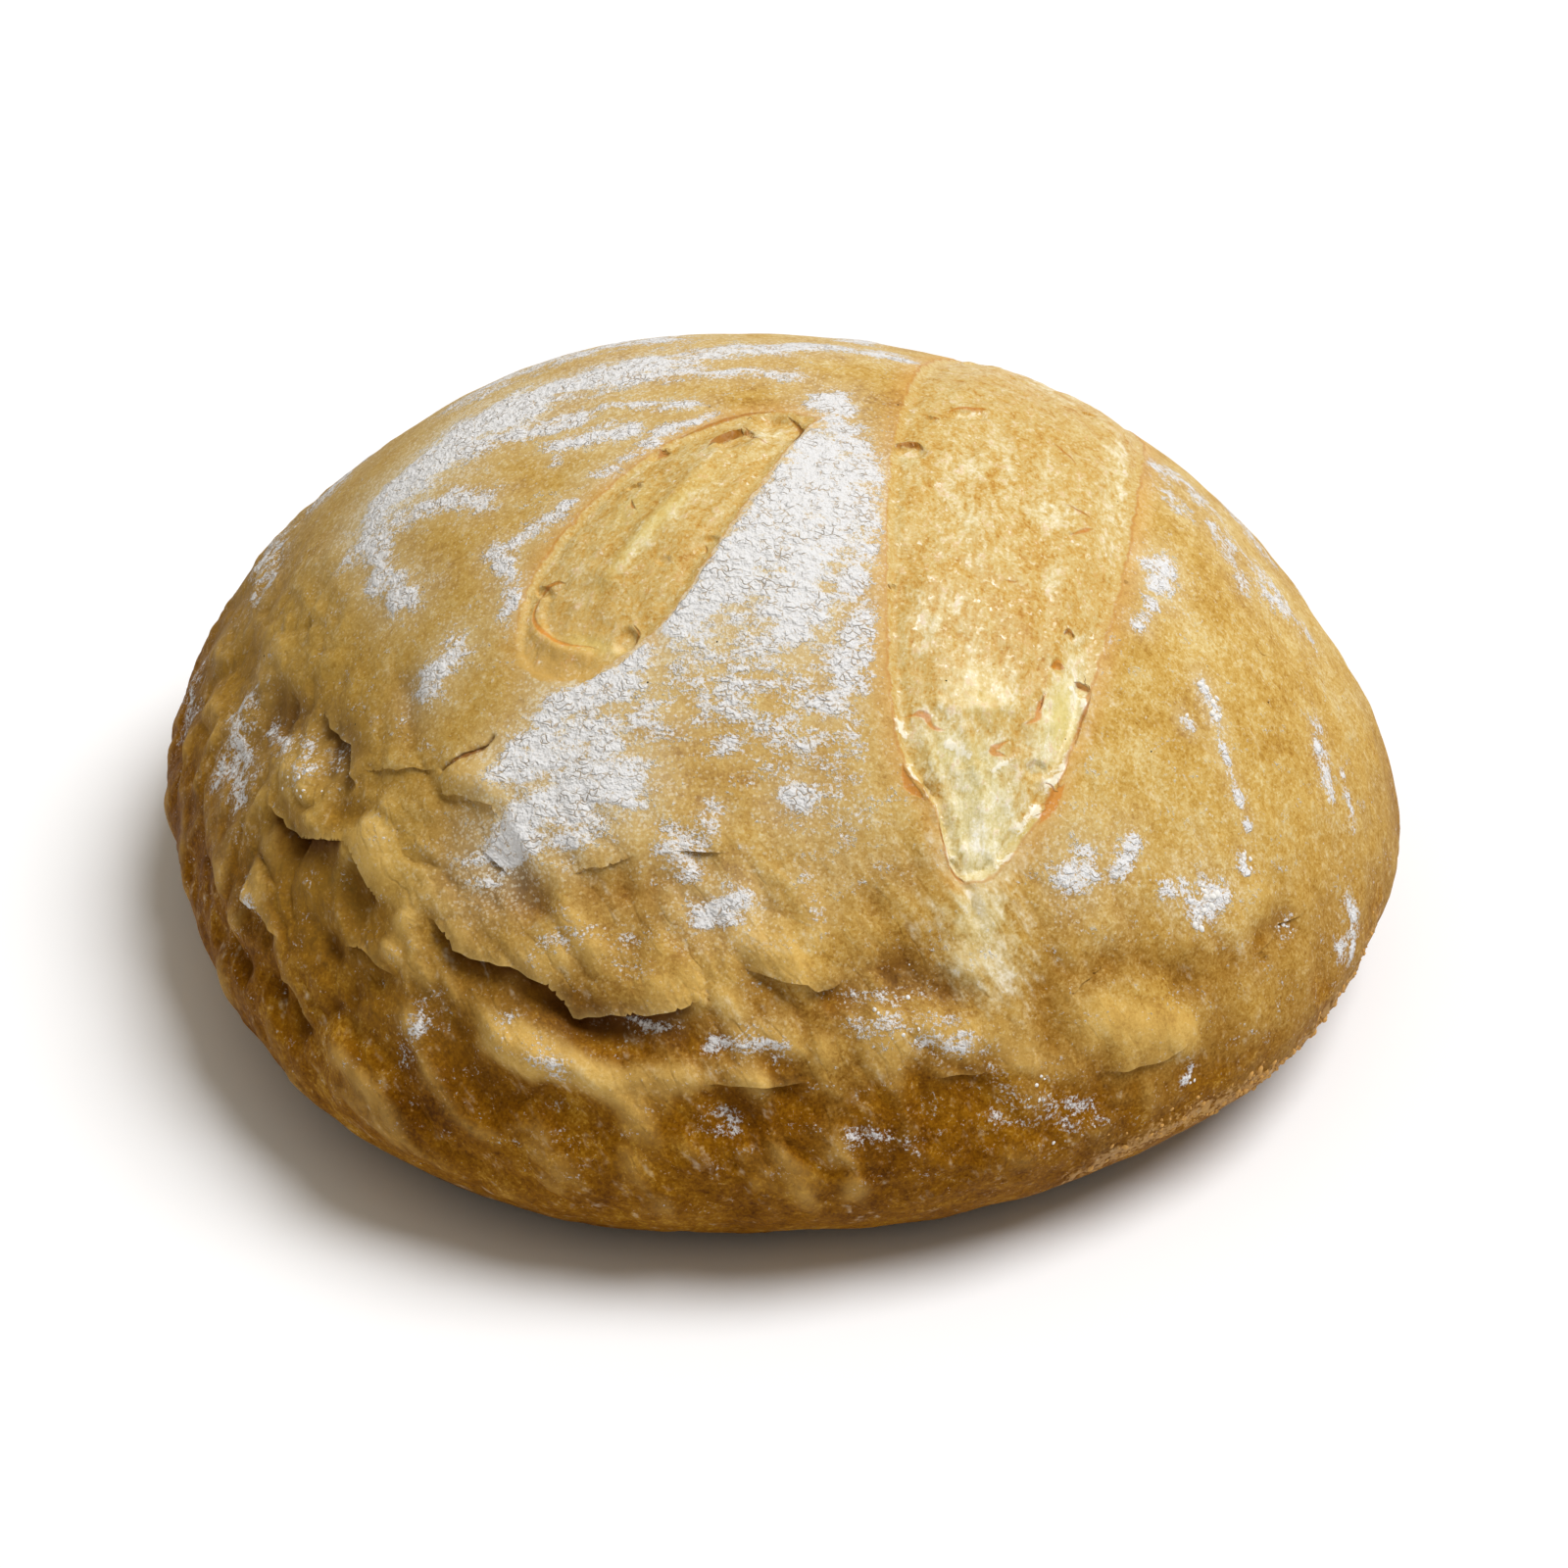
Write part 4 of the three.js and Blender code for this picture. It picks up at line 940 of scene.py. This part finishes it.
def snap_to_tears(u, v):
    """Moves the vertices of each plate that lie right by its torn edge onto the edge."""
    for line, *_ in TEARS:
        near = near_line(line, u, v, LINE_SNAP)
        edge = nearest(line, u[near], v[near])
        move = (edge["side"] >= 0) & (edge["distance"] < LINE_SNAP)
        u[near[move]], v[near[move]] = edge["foot"][move].T


def add_share(mesh, name, values, kind="FLOAT", field="value"):
    """Stores a value for each vertex, for the crust's finish to read."""
    share = mesh.attributes.new(name, kind, "POINT")
    share.data.foreach_set(field, np.ascontiguousarray(values, np.float32).ravel())


def fit_to_frame(points):
    """The points in metres in the shared frame, over the CAD solid's own box."""
    low, high = (np.array(corner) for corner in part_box("loaf"))
    own_low, own_high = points.min(0), points.max(0)
    return low + (points - own_low) * (high - low) / (own_high - own_low)


def make_crust():
    """The crust, and the chart places of its vertices."""
    bpy.ops.object.select_all(action="DESELECT")
    bpy.ops.mesh.primitive_ico_sphere_add(subdivisions=GLOBE_LEVEL, radius=1)
    crust = bpy.context.object
    crust.name = crust.data.name = "crust"
    bpy.context.tool_settings.mesh_select_mode = (False, True, False)
    for _ in range(SPLIT_PASSES):
        split_long_sides(crust)
    u, v, arc, azimuth, length = chart_places(vertex_places(crust.data))
    snap_to_tears(u, v)
    points, shares, grain = crust_shape(u, v, np.hypot(u, v), np.arctan2(v, u), length)
    crust.data.vertices.foreach_set("co", fit_to_frame(points).ravel())
    for name, values in shares.items():
        add_share(crust.data, name, values)
    add_share(crust.data, "grain", grain * MM, "FLOAT_VECTOR", "vector")
    select_only(crust)
    bpy.ops.object.shade_smooth_by_angle(angle=SHARP_ANGLE * DEG)
    crust.data.materials.append(baked_crust())
    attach(crust, "root")
    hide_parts("loaf")
    return crust, np.column_stack([u, v])


# ------------------------------------------------------------------ lumps, crumbs and specks

def spot_on(crust, chart, place):
    """The crust's point and outward direction nearest to a chart place."""
    vertex = crust.data.vertices[int(np.hypot(*(chart - place).T).argmin())]
    return vertex.co.copy(), vertex.normal.copy()


def strew(name, crust, chart, placed, kind):
    """One piece of small uneven lumps, each sunk a little into the crust at its chart place."""
    flatness, sunk, finish_name, colour = kind
    stray = np.random.default_rng(len(placed))
    globules = []
    for place, size in placed:
        at, out = spot_on(crust, chart, place)
        turn = Matrix.Rotation(stray.uniform(0, GLOBULE_TURN), 3, "Z")
        turn = out.to_track_quat("Z", "Y").to_matrix() @ turn
        bpy.ops.object.select_all(action="DESELECT")
        bpy.ops.mesh.primitive_ico_sphere_add(
            subdivisions=GLOBULE_LEVEL, radius=size / 2 * MM, location=at - out * sunk * size * MM,
            rotation=turn.to_euler(), scale=(1, stray.uniform(*GLOBULE_WIDTH), flatness))
        globules.append(bpy.context.object)
    select_only(*globules)
    bpy.ops.object.join()
    piece = bpy.context.object
    piece.name = piece.data.name = name
    bpy.ops.object.transform_apply(location=True, rotation=True, scale=True)
    places = vertex_places(piece.data)
    normals = np.array([vertex.normal for vertex in piece.data.vertices])
    largest = max(size for _, size in placed)
    swell = UNEVEN * crumble(places / MM, UNEVEN_PITCH) * MM * largest / 2
    piece.data.vertices.foreach_set("co", (places + normals * swell[:, None]).ravel())
    bpy.ops.object.shade_smooth()
    piece.data.materials.append(plain_finish(finish_name, colour))
    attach(piece, "root")


def strew_small_pieces(crust, chart):
    """Lumps of flour in clumps, crumbs along the ragged edge, and charred specks."""
    stray = np.random.default_rng(3)
    lumps_at = [(np.add(centre, stray.normal(0, spread * CLUMP_SPREAD, 2)),
                 size * stray.uniform(*LUMP_SHARE))
                for centre, spread, count, size in LUMP_CLUMPS for _ in range(count)]
    strew("flour_lumps", crust, chart, lumps_at, FLOUR_LUMPS)

    crumbs_at = []
    edge = flowing(RAGGED_EDGE[0][0], FOOT_CRUMBS, False)
    smallest, largest = FOOT_CRUMB_SIZES
    for _ in range(FOOT_CRUMBS):
        place = edge[int(len(edge) * (stray.random() + stray.random()) / 2)]
        size = smallest + (largest - smallest) * stray.random() ** 2
        crumbs_at.append((place + stray.normal(0, FOOT_CRUMB_SPREAD, 2), size))
    strew("foot_crumbs", crust, chart, crumbs_at, CRUMBS)

    specks_at = [(place, SPECK_SIZE * stray.uniform(*SPECK_SHARE)) for place in SPECKS]
    strew("charred_specks", crust, chart, specks_at, CHARRED)


# ------------------------------------------------------------------ finishes

# Colours as a screen shows them, 0 to 255. A ramp has the place of each colour before it.
GOLDEN_SKIN = [(0.0, (146, 100, 28)), (0.35, (182, 142, 64)), (0.6, (197, 163, 90)),
               (1.0, (218, 201, 148))]
AMBER_SKIN = [(0.0, (80, 44, 0)), (0.35, (116, 71, 1)), (0.65, (142, 94, 8)), (1.0, (182, 136, 44))]
OLIVE_SKIN = (174, 144, 66)                 # high on the left side
LIT_RELIEF_SKIN, SHADED_RELIEF_SKIN = (226, 188, 108), (86, 48, 0)      # painted light on the tops of the puckers, painted shade in their bottoms
# painted shade for creases and for hollows under plates and in cracks, and a pale brim
CREASE_SHADE, PAINTED_HOLLOW_SHADE, BRIM = (112, 66, 4), (82, 42, 0), (216, 188, 120)
LOWEST_DARK = (70, 38, 4)                        # darker over the lowest few millimetres
BLUSH = (212, 160, 92)                      # skin stretched thin round the openings
RAGGED_CRUMB = (212, 172, 118)
GOLDEN_CRUMB = [(0.0, (176, 124, 48)), (0.3, (197, 158, 84)), (0.55, (204, 178, 116)),
                (0.8, (214, 196, 146)), (1.0, (230, 218, 186))]
CREAM_CRUMB = [(0.0, (198, 184, 124)), (0.35, (214, 202, 152)), (0.65, (226, 218, 182)),
               (1.0, (242, 240, 226))]
FLUSH_CRUMB, WET_CRUMB, LIP_WHITE_AND_HIGHLIGHT = (198, 158, 84), (220, 202, 122), (244, 240, 222)
TOASTED_FLECK, GLINT_FLECK = (198, 130, 46), (240, 222, 180)
RIM_BROWN, SEAM_ORANGE, SEAM_SHADE_AMBER = (182, 122, 50), (208, 124, 20), (122, 76, 10)
DOT, HAZE_AND_SHEEN, FLOUR_CRACK, FLOUR_WHITE = (224, 218, 200), (216, 205, 174), (154, 118, 66), (222, 224, 228)

CRACK_CELL = 1.7                            # mm between the cracks of caked flour
CRACK_BEND, CRACK_BEND_PITCH = 3, 2         # how far, and over what length, they bend
DRAWN_ACROSS = (0.6, 1, 1)                  # its flakes are drawn out from side to side
DRIFT_ACROSS = (0.4, 1, 1)                  # and so are the drifts of thin flour

class Tone:
    """A socket of a finish; sums and products of tones add Math nodes."""

    def __init__(self, finish, socket):
        self.finish, self.socket = finish, socket

    def math(self, operation, *values):
        return self.finish.node("Math", {"operation": operation}, dict(enumerate(values)))

    def __add__(self, other):
        return self.math("ADD", self, other)

    def __sub__(self, other):
        return self.math("SUBTRACT", self, other)

    def __rsub__(self, other):
        return self.math("SUBTRACT", other, self)

    def __mul__(self, other):
        return self.math("MULTIPLY", self, other)

    __radd__, __rmul__ = __add__, __mul__

    def size(self):
        return self.math("ABSOLUTE", self)

    def step(self, low, high):
        """0 below low, 1 above high, with soft ends."""
        return self.finish.node("MapRange", {"interpolation_type": "SMOOTHSTEP"},
                                {"Value": self, "From Min": low, "From Max": high})


class Finish:
    """A material under construction."""

    def __init__(self, name):
        self.material = bpy.data.materials.new(name)
        self.material.use_nodes = True
        self.tree = self.material.node_tree
        self.tree.nodes.clear()

    def node(self, kind, settings=None, inputs=None, output=0):
        node = self.tree.nodes.new("ShaderNode" + kind)
        for name, value in (settings or {}).items():
            if name == "stops":
                self.set_stops(node.color_ramp, value)
            else:
                setattr(node, name, value)
        for name, value in (inputs or {}).items():
            if isinstance(value, Tone):
                self.tree.links.new(value.socket, node.inputs[name])
            else:
                node.inputs[name].default_value = value
        return Tone(self, node.outputs[output])

    @staticmethod
    def set_stops(ramp, stops):
        while len(ramp.elements) < len(stops):
            ramp.elements.new(1)
        for element, (place, colour) in zip(ramp.elements, stops):
            element.position, element.color = place, colour

    def shares(self, *names):
        """The values stored for the vertices under these names."""
        return [self.node("Attribute", {"attribute_name": name}, output="Fac") for name in names]

    def along(self, place, axis, length):
        """How far along an axis a place lies, as a share of a length in mm."""
        return self.node("SeparateXYZ", {}, {"Vector": place}, output=axis) * (1 / (length * MM))

    def noise(self, place, pitch, detail=2, roughness=0.5):
        """Noise around 0, mostly within 0.3 of it, with lumps pitch mm apart."""
        return self.node("TexNoise", {}, {"Vector": place, "Scale": 1 / (pitch * MM),
                                          "Detail": detail, "Roughness": roughness}) - 0.5

    def cells(self, place, pitch):
        """Uneven cells pitch mm apart: the distance from their middles, in cells, and the random
        tone of each."""
        voronoi = self.node("TexVoronoi", {}, {"Vector": place, "Scale": 1 / (pitch * MM)})
        return voronoi, Tone(self, voronoi.socket.node.outputs["Color"])

    def gaps(self, place, pitch):
        """The distance from the edges of uneven cells pitch mm apart, in cells."""
        return self.node("TexVoronoi", {"feature": "DISTANCE_TO_EDGE"},
                         {"Vector": place, "Scale": 1 / (pitch * MM)})

    def blend(self, low, high, share):
        return self.node("Mix", {"data_type": "RGBA"}, {0: share, 6: low, 7: high}, output=2)

    def paint(self, surface, colour, share):
        """The surface with a share of a screen colour over it."""
        return self.blend(surface, tint(*colour), share)

    def ramp(self, share, stops):
        stops = [(place, tint(*colour)) for place, colour in stops]
        return self.node("ValToRGB", {"stops": stops}, {"Fac": share})

    def stretched(self, place, sizes):
        return self.node("Mapping", {}, {"Vector": place, "Scale": sizes})

    def done(self, **inputs):
        """Ends the finish with its shader, fed by sockets named with _ for spaces."""
        shader = self.node("BsdfPrincipled", {}, {
            name.replace("_", " "): value for name, value in inputs.items()})
        output = self.tree.nodes.new("ShaderNodeOutputMaterial")
        self.tree.links.new(shader.socket, output.inputs["Surface"])
        return self.material


def tint(red, green, blue):
    """A colour from its screen values, 0 to 255."""
    def linear(value):
        value /= 255
        return value / 12.92 if value <= 0.04045 else ((value + 0.055) / 1.055) ** 2.4
    return (linear(red), linear(green), linear(blue), 1)


def plain_finish(name, colour):
    """A matt finish of one colour."""
    return Finish(name).done(Base_Color=tint(*colour), Roughness=0.95, Specular_IOR_Level=0.2)


def baked_crust():
    """Golden crust with sides darkened by browning and painted shade, painted light on its right side
    and raised relief, painted shade in hollows, pale torn crumb, seams and flour.
    """
    finish = Finish("baked_crust")
    place = finish.node("TexCoord", output="Object")
    grain_way = finish.node("Attribute", {"attribute_name": "grain"}, output="Vector")
    inside, flush, pale, wet, lip = finish.shares("inside", "flush", "pale", "wet", "lip")
    hollow, brim, relief, puckered = finish.shares("hollow", "brim", "relief", "puckered")
    seam_side, seam_width, seam_dark = finish.shares("seam", "seam_width", "seam_dark")
    flour, haze, ragged = finish.shares("flour", "haze", "ragged")
    level = finish.along(place, "Z", HEIGHT)
    rightward = finish.along(place, "X", LENGTH)
    leftward = rightward * -1.0
    depth = 1 - level

    # unevenness, from clouds across the crust down to powder
    cloud = finish.noise(place, 24, 1)
    mottle = finish.noise(place, 6, 2, 0.6)
    wander = finish.noise(place, 2.4, 1)
    granule = finish.noise(place, 1.6, 2, 0.6)
    powder = finish.noise(place, 0.5, 2, 0.7)
    grit_middle, grit = finish.cells(place, 0.5)
    grit = grit - 0.5
    torn = (inside + wander * 1.6 + flush * mottle * 9).step(-0.2, 0.3)
    off_rim = inside.size().step(0.9, 1.9)
    streak = finish.noise(grain_way, 4.2, 2, 0.6) * off_rim
    fibre = finish.noise(grain_way, 1.5, 2, 0.65) * off_rim
    crease = (1 - streak.size().step(0, 0.07)) * puckered * off_rim

    # crust: golden on top, amber down the sides, deep amber in hollows. The amber is browning and
    # painted shade, darker low down and on the puckered front left; painted light keeps the right side
    # and raised relief golden.
    warmth = (0.5 + cloud * 0.9 + mottle * 0.8 + granule * 0.7 + powder * 0.8 + grit * 0.35
              + streak * puckered * 0.6)
    # browning with painted shade low down and on the puckered side, and painted light on the right
    # side and on raised relief
    browning_and_shade = (depth.step(0.15, 0.95) * 1.2 + puckered * 0.12 - relief * 0.24 + mottle * 0.7
            + cloud * 0.9 - rightward * 0.54 - rightward.step(0.1, 0.5) * 0.24)
    crust = finish.blend(finish.ramp(warmth, GOLDEN_SKIN), finish.ramp(warmth, AMBER_SKIN),
                         browning_and_shade.step(0.05, 0.9))
    crust = finish.paint(crust, OLIVE_SKIN, leftward.step(0.05, 0.42) * level.step(0.28, 0.5) * 0.42)
    # painted light on raised relief and painted shade in its dips, the shade strongest on the puckers
    crust = finish.paint(crust, LIT_RELIEF_SKIN, (relief + mottle).step(0.4, 2.2) * 0.45)
    crust = finish.paint(crust, SHADED_RELIEF_SKIN,
                         (relief * -1.0 + mottle).step(0.4, 2.4) * (puckered * 0.65 + 0.15))
    # painted shade in the creases of the puckered skin
    crust = finish.paint(crust, CREASE_SHADE, crease * 0.14)
    # painted shade in the hollows under the plates and in the cracks
    crust = finish.paint(crust, PAINTED_HOLLOW_SHADE, (hollow * 1.4 + granule * 0.5).step(0.1, 1.1) * 0.94)
    crust = finish.paint(crust, BRIM, brim * 0.45)
    crust = finish.paint(crust, LOWEST_DARK, (depth + mottle * 0.03).step(0.93, 1.0) * 0.85)
    crust = finish.paint(crust, BLUSH,
                         (inside + 5.5).step(0, 5.5) * (0.36 - flush * 0.3 + cloud * 0.3))
    crust = finish.paint(crust, RAGGED_CRUMB,
                         (ragged + granule * 2.4 + grit * 0.5).step(0.5, 1.1) * 0.5)

    # torn crumb: granular, golden to pale, with toasted flecks, and pale flecks painted as highlights
    # where it sparkles
    rise = (0.5 + streak * 0.6 + fibre * 0.9 + cloud * 0.3 + granule * 0.6 + powder * 0.8
            + grit * 0.4)
    cream = finish.ramp(rise + streak * 0.7 + fibre * 0.5, CREAM_CRUMB)
    pallor = (pale * 1.1 + streak * 0.9 + fibre * 1.2 + granule * 0.6).step(0.1, 1.0)
    sparkle = (grit + granule * 0.9).step(0.28, 0.42)
    lit_lip = (lip + granule * 2.4 + grit * 0.5).step(0.4, 0.9)
    crumb = finish.blend(finish.ramp(rise, GOLDEN_CRUMB), cream, pallor)
    crumb = finish.paint(crumb, FLUSH_CRUMB, flush * 0.85)
    crumb = finish.paint(crumb, WET_CRUMB, wet * 0.6)
    crumb = finish.paint(crumb, TOASTED_FLECK, (granule + fibre).step(0.08, 0.28) * 0.32)
    # painted highlights: pale flecks where the crumb sparkles
    crumb = finish.paint(crumb, GLINT_FLECK, sparkle * 0.25)
    # the pale wet lips, whitened further by a painted highlight
    crumb = finish.paint(crumb, LIP_WHITE_AND_HIGHLIGHT, lit_lip * 0.85)

    # where they meet: the crumb's pallor runs out on the skin, the rim is browner, and the seams run
    # from orange lines to deep amber painted shade
    surface = finish.blend(crust, crumb, torn)
    surface = finish.blend(surface, cream, pallor * (1 - torn) * 0.7)
    rim_line = (1 - (inside + wander * 1.6).size().step(0.08, 0.5)) * (
        0.45 - flush * 0.9 + cloud + mottle * 0.8)
    surface = finish.paint(surface, RIM_BROWN, rim_line)
    off_seam = (seam_side + wander * 0.5).size() - seam_width * (1 + granule * 1.6)
    seam = (1 - off_seam.step(-0.3, 0.15)) * seam_width.step(0.02, 0.12)
    # seams blend from orange to deep amber painted shade by their darkness
    seam_colour = finish.blend(tint(*SEAM_ORANGE), tint(*SEAM_SHADE_AMBER), seam_dark)
    surface = finish.blend(surface, seam_colour, seam * (0.62 + seam_dark * 0.28))

    # flour: caked, domed and cracked where thick, powder and specks where thin, and dust thicker
    # toward the top as a painted sheen
    bend = finish.node("TexNoise", {}, {
        "Vector": place, "Scale": 1 / (CRACK_BEND_PITCH * MM), "Detail": 1}, output="Color")
    bent = finish.node("VectorMath", {"operation": "MULTIPLY_ADD"}, {
        0: bend, 1: (CRACK_BEND * MM,) * 3, 2: place})
    gap = finish.gaps(finish.stretched(bent, DRAWN_ACROSS), CRACK_CELL)
    drift = finish.noise(finish.stretched(place, DRIFT_ACROSS), 2.8, 2, 0.6)
    amount = (flour * 1.1 - depth.step(0.7, 1.0) * 0.2
              + (mottle * 0.9 + drift * 1.8) * (flour.step(0.1, 0.5) * 0.4 + 0.6))
    thick = amount.step(0.6, 0.95)
    cover = (amount + powder * 1.5 + grit * 0.45 + gap.step(0, 0.3) * thick * 0.2).step(0.45, 0.85)
    broken = (drift * 0.9 + mottle * 0.8 + granule * 1.2).step(-0.08, 0.16)
    cracks = (1 - gap.step(0.0, 0.08)) * broken * thick
    white = cover * (1 - cracks * 0.7) * (thick * 0.2 + 0.8) * (1 - torn)
    # dust laid thicker toward the top: real dust, and a painted sheen on the lit top
    top_sheen = level.step(0.3, 0.8)
    skin = (1 - torn) * (1 - hollow)
    dots = (grit - grit_middle * 0.7 + haze * 0.45 + drift * 0.6 + relief * 0.03).step(-0.02, 0.2)
    surface = finish.paint(surface, DOT, dots * skin * (haze * 0.4 + top_sheen * 0.16))
    surface = finish.paint(surface, HAZE_AND_SHEEN, haze * top_sheen * skin * 0.42)
    surface = finish.paint(surface, FLOUR_CRACK, cracks * cover * 0.7)
    surface = finish.paint(surface, FLOUR_WHITE, white * (powder * 0.4 + 0.95))

    # fine relief in mm, and the shine of the wet crumb
    bumps = (granule * 0.12 + powder * 0.06 + grit * 0.03 + mottle * 0.12
             + streak * (torn * 0.35 + puckered * 0.5)
             + fibre * torn * 0.35 - crease * 0.08
             + white * (0.1 + powder * 0.2 + granule * 0.7 + drift * 0.4)
             + gap.step(0, 0.2) * thick * broken * 0.1
             - seam * (seam_dark * 0.25 + 0.08))
    normal = finish.node("Bump", {}, {"Strength": 1.0, "Distance": MM, "Height": bumps})
    rough = 0.6 - torn * 0.14 - wet * torn * 0.2 + white * 0.34
    shine = (sparkle * 0.3 + wet * 0.5 + lit_lip * 0.7 + 0.1) * torn
    return finish.done(Base_Color=surface, Roughness=rough, Normal=normal, Specular_IOR_Level=0.05,
                       Coat_Weight=shine, Coat_Roughness=0.26)


# ------------------------------------------------------------------ floor, light and camera

FLOOR_SIDE = 40.0                       # metres
VIEW_TARGET = Vector((0.26, 1.69, 28)) * MM             # what the camera looks at
VIEW_DISTANCE = 695 * MM
VIEW_RISE, VIEW_ROLL = 35.5, 2.0        # degrees above the floor; turn about the line of sight
LENS, SENSOR = 85, 36                   # mm
FLOOR_COLOUR = (236, 238, 242)
ROOM_COLOUR = (1.0, 0.9, 0.73, 1)
ROOM_GLOW = (0.06, 0.6)                 # the room's light from level with the floor and from above
KEY_FROM = Vector((0.5, 0.05, 1.1))     # towards the key light
KEY_STRENGTH, KEY_SOFTNESS = 3.0, 36    # and its angle across, degrees
KEY_COLOUR = (1.0, 0.995, 1.0)


def make_floor():
    """A wide pale floor under the loaf."""
    bpy.ops.object.select_all(action="DESELECT")
    bpy.ops.mesh.primitive_plane_add(size=FLOOR_SIDE)
    floor = bpy.context.object
    floor.name = floor.data.name = "floor"
    floor.data.materials.append(plain_finish("pale_floor", FLOOR_COLOUR))


def light_scene():
    """A soft room, brighter from above, and one broad key light."""
    world = bpy.data.worlds.new("soft_room")
    world.use_nodes = True
    tree = world.node_tree
    way = tree.nodes.new("ShaderNodeSeparateXYZ")
    glow = tree.nodes.new("ShaderNodeMapRange")
    glow.inputs["To Min"].default_value, glow.inputs["To Max"].default_value = ROOM_GLOW
    tree.links.new(tree.nodes.new("ShaderNodeTexCoord").outputs["Generated"], way.inputs["Vector"])
    tree.links.new(way.outputs["Z"], glow.inputs["Value"])
    background = tree.nodes["Background"]
    background.inputs["Color"].default_value = ROOM_COLOUR
    tree.links.new(glow.outputs["Result"], background.inputs["Strength"])
    bpy.context.scene.world = world

    light = bpy.data.lights.new("key", "SUN")
    light.energy, light.angle, light.color = KEY_STRENGTH, KEY_SOFTNESS * DEG, KEY_COLOUR
    lamp = bpy.data.objects.new("key", light)
    bpy.context.scene.collection.objects.link(lamp)
    lamp.rotation_euler = (-KEY_FROM).to_track_quat("-Z", "Y").to_euler()
    bpy.context.scene.view_settings.view_transform = "Standard"


def place_camera():
    """A camera at the angle and distance the loaf is seen from."""
    rise, roll = VIEW_RISE * DEG, VIEW_ROLL * DEG
    back = Vector((0, -math.cos(rise), math.sin(rise)))
    level = Vector((1, 0, 0))
    upright = back.cross(level)
    right = level * math.cos(roll) + upright * math.sin(roll)
    up = upright * math.cos(roll) - level * math.sin(roll)
    turn = Matrix((right, up, back)).transposed().to_4x4()
    camera = bpy.data.objects.new("camera", bpy.data.cameras.new("camera"))
    bpy.context.scene.collection.objects.link(camera)
    camera.data.lens, camera.data.sensor_width = LENS, SENSOR
    camera.matrix_world = Matrix.Translation(VIEW_TARGET + back * VIEW_DISTANCE) @ turn
    bpy.context.scene.camera = camera


# ------------------------------------------------------------------ the whole scene

crust, crust_chart = make_crust()
strew_small_pieces(crust, crust_chart)
make_floor()
light_scene()
place_camera()
